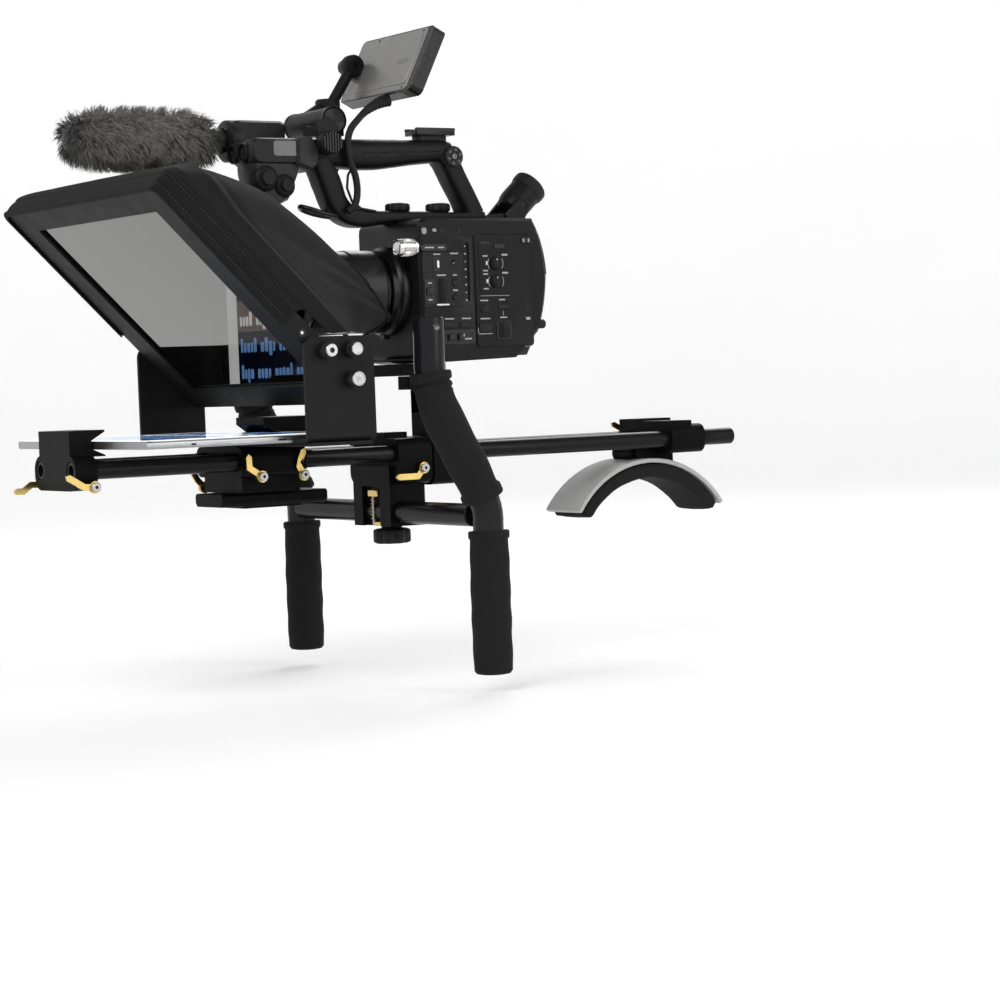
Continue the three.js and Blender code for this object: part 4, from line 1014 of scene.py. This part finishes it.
# ---------------------------------------- eyepiece
eye = Piece(Matrix.Translation((0, 448, 213)) @ Matrix.Rotation(math.radians(-48), 4, "X"))
EYE = ("z", (0, 0, 0), 56)
eye.lathe([(0, -6), (10.4, -6), (12.4, -4.8), (14.2, 0), (14.6, 4), (14.6, 18.2), (15, 18.8)], *EYE)
eye.lathe([(15, 18.8), (15.3, 19.6), (15.8, 21.4), (16, 24), (15.8, 27.2), (15, 28.2), (13.6, 28.3),
           (12.8, 27.4), (12.2, 25.4), (11.8, 25)], *EYE, 1)
eye.lathe([(11.8, 25), (11, 24.6), (0, 25.6)], *EYE, 2)
for s in (-1, 1):
    eye.lathe(flipped(s, [(0, 13), (3.2, 13), (3.2, 17.2), (2.8, 17.6), (0, 17.6)]), "x", (0, 0, 0), 24)
place("eyepiece", eye, [moulding, rubber, coated_glass], "viewfinder", "moulding", ("viewfinder",), angle=30)

# ---------------------------------------- microphone and its fur
MIC_AXIS = (-45, 0, 270.5)
FUR_SHAPE = ((0, 41), (7, 41.5), (13, 45), (18, 54), (20.5, 70), (21.5, 95), (21.5, 130), (20, 150),
             (17, 163), (13, 170), (10.9, 173))
BLADE_COUNT, FUR_REACH = 15000, 29.2


def fur_radius(y):
    for (r0, y0), (r1, y1) in zip(FUR_SHAPE, FUR_SHAPE[1:]):
        if y <= y1:
            return r0 + (r1 - r0) * (y - y0) / (y1 - y0)
    return FUR_SHAPE[-1][0]


def add_fur(piece):
    """Separate blades on the windscreen's skin, combed back and down in loose clumps."""
    rng = random.Random(11)
    noise.seed_set(11)
    for _ in range(BLADE_COUNT):
        y = rng.uniform(41.2, 173)
        r = fur_radius(y)
        if rng.random() > (r + 6) / 27.5:
            continue
        a = rng.uniform(0, math.tau)
        out = Vector((math.cos(a), 0, math.sin(a)))
        slope = (fur_radius(min(173, y + 2)) - fur_radius(max(41, y - 2))) / 4
        normal = (out - Vector((0, slope, 0))).normalized()
        clump = noise.noise_vector(Vector((math.cos(a) * 2.6, y / 10, math.sin(a) * 2.6)))
        comb = Vector((0, 0.4, -0.4)) + clump * 2.2
        length = rng.uniform(7.5, 13) * (1 + 0.25 * clump.y)
        stray = Vector((rng.gauss(0, 0.25), rng.gauss(0, 0.25), rng.gauss(0, 0.25)))
        way = (normal * 0.75 + comb * 0.6 + stray).normalized()
        root = Vector((MIC_AXIS[0], y, MIC_AXIS[2])) + out * (r - 0.3)
        across = way.cross(normal)
        if across.length < 0.05:
            continue
        across = across.normalized() * rng.uniform(0.22, 0.42)
        middle = root + way * length * 0.55
        tip = root + (way + Vector((0, 0.12, -0.3))).normalized() * length
        flat = Vector((tip.x - MIC_AXIS[0], 0, tip.z - MIC_AXIS[2]))
        if flat.length > FUR_REACH:
            tip -= flat * (1 - FUR_REACH / flat.length)
        tip.y = min(max(tip.y, 33.5), 182)
        piece.add([root - across, root + across, middle - across * 0.8, middle + across * 0.8, tip],
                  [(0, 1, 3, 2), (2, 3, 4)])


windscreen = Piece()
windscreen.lathe([*FUR_SHAPE, (10.9, 150), (0, 150)], "y", MIC_AXIS, 48)
add_fur(windscreen)
screen = place("fur_windscreen", windscreen, [fur_material(at(*MIC_AXIS))], "windscreen", "fur",
               ("windscreen",), angle=60)
bands = Piece()
for y in (187, 226.4):
    bands.lathe([(10.5, y), (10.9, y + 0.2), (10.9, y + 1.6), (10.5, y + 1.8)], "y", MIC_AXIS)
bands.lathe([(8.6, 238), (8.4, 238.6), (6.6, 238.6), (6.4, 237.9), (0, 237.9)], "y", MIC_AXIS, slot=1)
place("microphone_bands", bands, [steel, smooth_black])

# ---------------------------------------- audio unit: rounded body, lower lump, chin, dials, chip and holder
audio = Piece()
audio.prism(rounded(183.6, 236, 247, 269, 8), "x", -30, 10, 2, 3.6)
audio.prism([(187, 254), (187.4, 240), (190, 229), (196, 219.5), (204, 214.4), (212, 213.6), (220, 217),
             (225, 224), (227.4, 232), (231, 240), (234, 254)], "x", -27, 7.4, 2, 4.4)
audio.prism([(226, 246), (240, 241), (246, 247), (247, 262), (240, 271), (226, 268)], "x", -14, 14, 2, 3)
for y, z, r, out in ((198, 235, 9.5, 10.6), (215.5, 229, 8.4, 10.2)):
    audio.lathe([(r + 1.6, 4), (r + 1.4, out - 2.6), (r, out - 1), (r - 2.6, out), (0, out + 0.2)], "x",
                (0, y, z), 40, 2)
    audio.knob(r - 3, out, out + 3.4, "x", (0, y, z), 16, 0.4, 2, 0.5)
audio.prism(rounded(205, 229, 253.5, 266.4, 2.5), "x", 9.6, 10.8, 4, 0.5)
audio.prism(rounded(190, 240, 253.5, 287.4, 5), "x", -62, -30, 2, 3.4)
audio.lathe([(11.2, 186.4), (15.4, 186.4), (17.4, 188), (17.8, 190), (17.8, 198), (11.2, 198), (11.2, 186.4)],
            "y", MIC_AXIS, 56, 2)
for y in (199, 232):
    audio.tube([(-62.3, y, 282), (-46, y, 287.7), (-30.2, y, 283)], 0.7, 8, 1)
for x in (-22, -4):
    socket = [(8.2, 185.2), (8.2, 182.8), (7.6, 182.2), (6.4, 182.2), (6.2, 184.5), (0, 184.5)]
    audio.lathe(socket, "y", (x, 0, 257), 36, 2)
    for k in range(3):
        a = math.tau * k / 3 + 0.5
        pin_at = (x + 2.8 * math.cos(a), 0, 257 + 2.8 * math.sin(a))
        audio.lathe([(0.7, 184.6), (0.7, 183), (0, 182.8)], "y", pin_at, 10, 3)
place("audio_details", audio, [silver, dark_glass, moulding, steel, grey_shell], "rig", "moulding",
      ("audio_unit",), angle=40)

# ---------------------------------------- monitor panel and its arm
panel = Piece(Matrix.Translation((3, 327.5, 331)) @ Matrix.Rotation(math.radians(-26.7), 4, "X"))
panel.prism(rounded(-58.4, 51, -29.4, 29.4, 3.4), "y", -6.3, -5.7, 0, 0.25)
panel.prism(rounded(-40, 47, -24, 24, 2.5), "y", -6.8, -6, 0, 0.4)
panel.prism(rounded(20, 36, -3, 1.6, 0.8), "y", -6.86, -6.6, 3, 0.05)
for z in (-27, 27):
    for x in (-30, 44):
        panel.lathe([(1.2, -6.2), (1.1, -6.5), (0.5, -6.5), (0.4, -6.2), (0, -6.2)], "y", (x, 0, z), 16, 1)
panel.prism(rounded(-52.6, 52.6, -23.2, 24.2, 1.4), "y", 4.7, 5.4, 3, 0.2)
for k in range(5):
    panel.prism(rounded(-20 + k * 8, -15.5 + k * 8, -1.8, 1.4, 1), "z", 30.3, 31.1, 1, 0.3)
for z in (-14, -5, 4):
    panel.prism(rounded(-2.4, 2.4, z - 2.6, z + 2.6, 1), "x", 59.8, 60.4, 1, 0.2)
panel.prism(rounded(28, 44, -4.2, 3.4, 1), "z", -30.9, -30.2, 1, 0.2)
place("monitor_details", panel, [panel_grey, smooth_black, steel, dark_glass], "monitor_panel", "grey_shell",
      bevel=0.1)
arm = Piece()
arm.knob(10.3, 17, 26.6, "x", (0, 252, 264), 28)
for k in range(7):
    y = 2.55 * (k - 3)
    tall = math.sqrt(9.3 ** 2 - y * y)
    arm.prism(rounded(252 + y - 0.8, 252 + y + 0.8, 264 - tall, 264 + tall, 0.7, 3), "x", 26.4, 28.4, 1, 0.3)
arm.lathe([(8.7, -45.4), (9.6, -44.6), (9.6, -37.6), (9, -36.4), (7.4, -35.9), (6.8, -36.2), (6.4, -35.4),
           (2.6, -35.4), (2.4, -36), (0, -36)], "x", (0, 313.7, 337.5), 48)
for x in (-53, 13):
    arm.lathe([(11.6, x - 1.4), (12, x - 1), (12, x + 1), (11.6, x + 1.4)], "x", (0, 262, 284), 48, 1)
for x in (-8, 8):
    for y in (250, 268):
        arm.lathe([(1.9, 279.9), (1.7, 280.7), (0, 280.6)], "z", (x, y, 0), 16, 2)
arm.knob(10.8, 300.2, 306.6, "z", (-44, 289, 0), 30, 0.5, 0, 0.5)
place("arm_details", arm, [moulding, smooth_black, steel], "rig", "moulding", bevel=0.1)


# ---------------------------------------- lobed knobs and the clamp's spring
def lobed_knob(y, r, low, high, lobes, bite):
    """A star grip about Z whose rim swells between the finger hollows."""
    rows = []
    for k, h in ((0.004, low), (0.78, low), (0.95, low + 0.8), (1.0, low + 2.2), (1.0, high - 2.2),
                 (0.95, high - 0.8), (0.78, high), (0.004, high)):
        row = []
        for i in range(96):
            a = math.tau * i / 96
            reach = r * k * (1 - bite * (0.5 - 0.5 * math.cos(lobes * a)) ** 2)
            row.append((reach * math.cos(a), y + reach * math.sin(a), h))
        rows.append(row)
    return Piece().sheet(rows, closed=True)


knob = lobed_knob(311, 16.5, -78, -65, 8, 0.14)
knob.lathe([(0, -65.2), (9.6, -65.2), (9, -64), (8.4, -62.5), (0, -62.5)], "z", (0, 311, 0))
knob.lathe([(0, -78.1), (6, -78.1), (6.4, -78), (6.4, -77.4)], "z", (0, 311, 0), 32, 1)
place("star_knob", knob, [rubber, smooth_black], "handlebar_knob", "rubber", ("handlebar_knob",), angle=50)
for name, y in (("handle_knob_front", 329), ("handle_knob_rear", 370)):
    cap = lobed_knob(y, 11, 207.3, 215, 7, 0.13)
    cap.lathe([(6.2, 214.9), (6, 215.3), (0, 215.3)], "z", (0, y, 0), 32, 1)
    place(name + "_grip", cap, [moulding, smooth_black], name, "moulding", (name,), angle=50)
spring = Piece()
coil = [(-2 + 1.8 * math.cos(a / 6), 294.6 + 1.8 * math.sin(a / 6), -58 + a * 0.085) for a in range(240)]
spring.tube(coil, 0.42, 8)
spring.prism(rounded(-8, 8, 292.6, 296.9, 1), "z", -36.5, -31.5, 0, 0.4)
spring.lathe([(1.1, -61.5), (1.1, -31)], "z", (-2, 294.6, 0), 16, 1)
spring.lathe([(3, -61.8), (3.6, -61.2), (3.6, -58.6), (0, -58.6)], "z", (5.6, 294.8, 0), 6)
place("clamp_spring", spring, [brass, steel], "rig", "brass")

# ---------------------------------------- shoulder cushion
PAD_Y, PAD_Z, PAD_OUT, PAD_IN, PAD_HALF, PAD_REACH = 571, -115, 93.8, 80.2, 26, 55.5
PAD_STEPS, PAD_SIDES = 72, 56


def pad_row(u):
    """A section of the cushion; it pinches in at both ends and hollows on its inner face."""
    mid_r, half_r = (PAD_OUT + PAD_IN) / 2, (PAD_OUT - PAD_IN) / 2
    a = math.radians(-PAD_REACH + 2 * PAD_REACH * u)
    end = min(u, 1 - u) * 2 * PAD_REACH * math.pi / 180 * mid_r
    pinch = math.sqrt(max(0.0, 1 - max(0.0, 1 - end / 6) ** 2))
    row = []
    for j in range(PAD_SIDES):
        b = math.tau * j / PAD_SIDES
        c, s = math.cos(b), math.sin(b)
        x = PAD_HALF * math.copysign(abs(c) ** 0.28, c) * (0.9 + 0.1 * pinch)
        thick = half_r * math.copysign(abs(s) ** 0.4, s) * (0.12 + 0.88 * pinch)
        dent = 0.7 * noise.noise(Vector((x / 16, a * 5, s * 2))) if s < 0.2 else 0
        hollow = (1 - abs(x) / PAD_HALF) * pinch if s < 0 else 0
        r = mid_r + thick - hollow + dent
        row.append((x, PAD_Y + r * math.sin(a), PAD_Z + r * math.cos(a)))
    return row


pad = Piece().loops([pad_row(k / PAD_STEPS) for k in range(PAD_STEPS + 1)])
cushion = place("shoulder_cushion", pad, [foam], "shoulder_pad", "foam", ("shoulder_foam",), angle=60)

# ---------------------------------------- hood
FRAME_Y, FRAME_Z = 113.7, 129.9
MOUTH_R, MOUTH_TURN = 39.5, 152
COLUMNS, HOOD_ROWS, BAND_ROWS = 220, 60, 9
# the hem and stitched band round the frame: (half width, crest, hem, distance out of the frame's front)
EDGE = ((144.4, 119.2, -28, 1.6), (146.2, 121, -28, 2.3), (147.9, 122.7, -28, 1.6), (148.5, 123.2, -28, 0.2),
        (147.9, 122.6, -28.5, -1.4), (147.1, 121.8, -29, -2.4), (147.8, 122.6, -29, -3.6),
        (148.2, 123, -29, -8), (148.0, 122.8, -30, -12.6), (147.0, 121.8, -30, -13.6),
        (148.0, 122.8, -30, -14.6), (148.1, 122.9, -31, -18), (146.8, 121.4, -33, -19.6),
        (147.8, 122.2, -35, -21))


def leaned(x, v, w):
    """A point of the leaned frame: v up its slope, w out of its front."""
    return Vector((x, FRAME_Y + (-w - v) / math.sqrt(2), FRAME_Z + (v - w) / math.sqrt(2)))


def corner_arch(half, crest, hem, round_off, t):
    """(x, v) along a rounded arch; t runs from -1 at one hem over the top to +1 at the other."""
    side = math.copysign(1, t)
    t = abs(t)
    top_share = half / (half + crest - hem)
    if t < top_share:
        x, v = half * t / top_share, crest
    else:
        x, v = half, crest - (crest - hem) * (t - top_share) / (1 - top_share)
    cut = 0.3 * max(0, round_off - max(half - x, crest - v)) ** 2 / round_off
    return side * (x - cut), v - cut


def outward(t, back=-0.2, least=0):
    """The direction out of the hood at t across it."""
    theta = math.radians(MOUTH_TURN) * t
    return Vector((math.sin(theta), back, max(least, math.cos(theta)))).normalized()


def hood_point(s, t):
    """s: 0 at the crease to 1 at the lens; t: -1 to 1 across."""
    x, v = corner_arch(141.5, 106, -76, 26, t)
    front = leaned(x, v, -38 - 6 * max(0, min(1, (v - 60) / 45)))
    theta = math.radians(MOUTH_TURN) * t
    lean = abs(t) * MOUTH_TURN
    if lean < 125:
        reach = 240 + 57 * (lean / 125) ** 1.3
    else:
        reach = 297 - 15 * ((lean - 125) / 27) ** 1.2
    mouth = Vector((MOUTH_R * math.sin(theta), reach, LENS_Z + MOUTH_R * math.cos(theta)))
    p = front.lerp(mouth, s)
    spread = min(1, max(0, (abs(p.x) - 32) / 26))
    belly = math.sin(math.pi * s)
    if abs(theta) < math.pi / 2:
        p.z += (19 + 5 * spread) * belly * math.cos(theta) ** 0.7
    p.x += 5 * belly * math.sin(theta) * (0.5 + 0.5 * math.cos(2 * theta + math.pi))
    # gathers that run from the lens, and slack between them
    fold = math.sin(t * 31 + 1.7 * math.sin(t * 9)) * 1.8 * s ** 1.8 * (1 - 0.75 * s ** 6)
    slack = 4.4 * noise.noise(Vector((t * 3.2, s * 2.6, 5.1))) * math.sin(math.pi * min(1, s * 1.1)) ** 0.8
    fine = 1.1 * noise.noise(Vector((t * 11, s * 5, 1.4))) * belly
    return p + outward(t, 0, 0.15) * (fold + slack + fine - 1.2)


def hood_rows():
    ts = [-1 + 2 * j / COLUMNS for j in range(COLUMNS + 1)]
    rows = [[leaned(*corner_arch(half, crest, hem, 8, t), w) for t in ts] for half, crest, hem, w in EDGE]
    for k in range(1, BAND_ROWS):
        u = k / BAND_ROWS
        row = []
        for t in ts:
            start = leaned(*corner_arch(147.9, 122.2, -35 - 27 * min(1, u * 9), 8, t), -21)
            lift = 1.1 * math.sin(math.pi * u) * (0.5 + noise.noise(Vector((t * 7, 2, 3)))) + 2.6 * u ** 3
            row.append(start.lerp(hood_point(0, t), u) + outward(t) * lift)
        rows.append(row)
    for k in range(HOOD_ROWS + 1):
        s = k / HOOD_ROWS
        pinch = -1.6 * math.exp(-((s - 0.05) / 0.03) ** 2) + 2.6 * math.exp(-(s / 0.02) ** 2)
        rows.append([hood_point(s, t) + outward(t) * pinch for t in ts])
    return rows


frame_screws = Piece()
for side in (-1, 1):
    head = [(3.4, 145.3), (3.3, 146), (2.2, 146), (2, 145.5), (0, 145.5)]
    frame_screws.lathe(flipped(side, head), "x", (0, 150, 102.6), 28)
    frame_screws.lathe(flipped(side, [(1.5, 145.4), (1.3, 146.3), (0, 146.3)]), "x", (0, 150, 102.6), 20, 1)
place("frame_screws", frame_screws, [smooth_black, steel], "glass_frame", "steel")
hood = place("hood_fabric", Piece().sheet(hood_rows()), [cloth], None, "hood_cloth", ("hood",), angle=75)
thick = hood.modifiers.new("thickness", "SOLIDIFY")
thick.thickness = 0.0009
thick.offset = 0
smooth = hood.modifiers.new("smooth", "SUBSURF")
smooth.levels = smooth.render_levels = 1
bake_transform(hood)
elastic = Piece()
elastic.tube([hood_point(1, -1 + 2 * k / 180) for k in range(181)],
             [2.3 + 0.45 * math.sin(k * 1.9) + 0.25 * math.sin(k * 0.7) for k in range(181)])
elastic_band = place("hood_elastic", elastic, [cloth], "rig", "hood_cloth", angle=75)
stitches = Piece()


def run_of_stitches(path, pitch=3.2, length=2.1):
    """Thread dashes along a path of points."""
    line, total = curve(path, len(path) * 6)
    last = len(line) - 1

    def on_line(u):
        return line[int(u)].lerp(line[min(last, int(u) + 1)], u - int(u))

    count = int(total / pitch)
    for i in range(count):
        a = on_line(i / count * last)
        b = on_line(min(last - 0.001, (i + length / pitch) / count * last))
        if (b - a).length > 0.5:
            stitches.tube([a, (a + b) / 2, b], [0.16, 0.3, 0.16], 6)


for w in (-3.7, -14.9):
    run_of_stitches([leaned(*corner_arch(148.3, 123.1, -29, 8, -0.995 + 1.99 * j / 90), w)
                     for j in range(91)])
place("hood_stitches", stitches, [thread], "glass_frame", "hood_cloth")
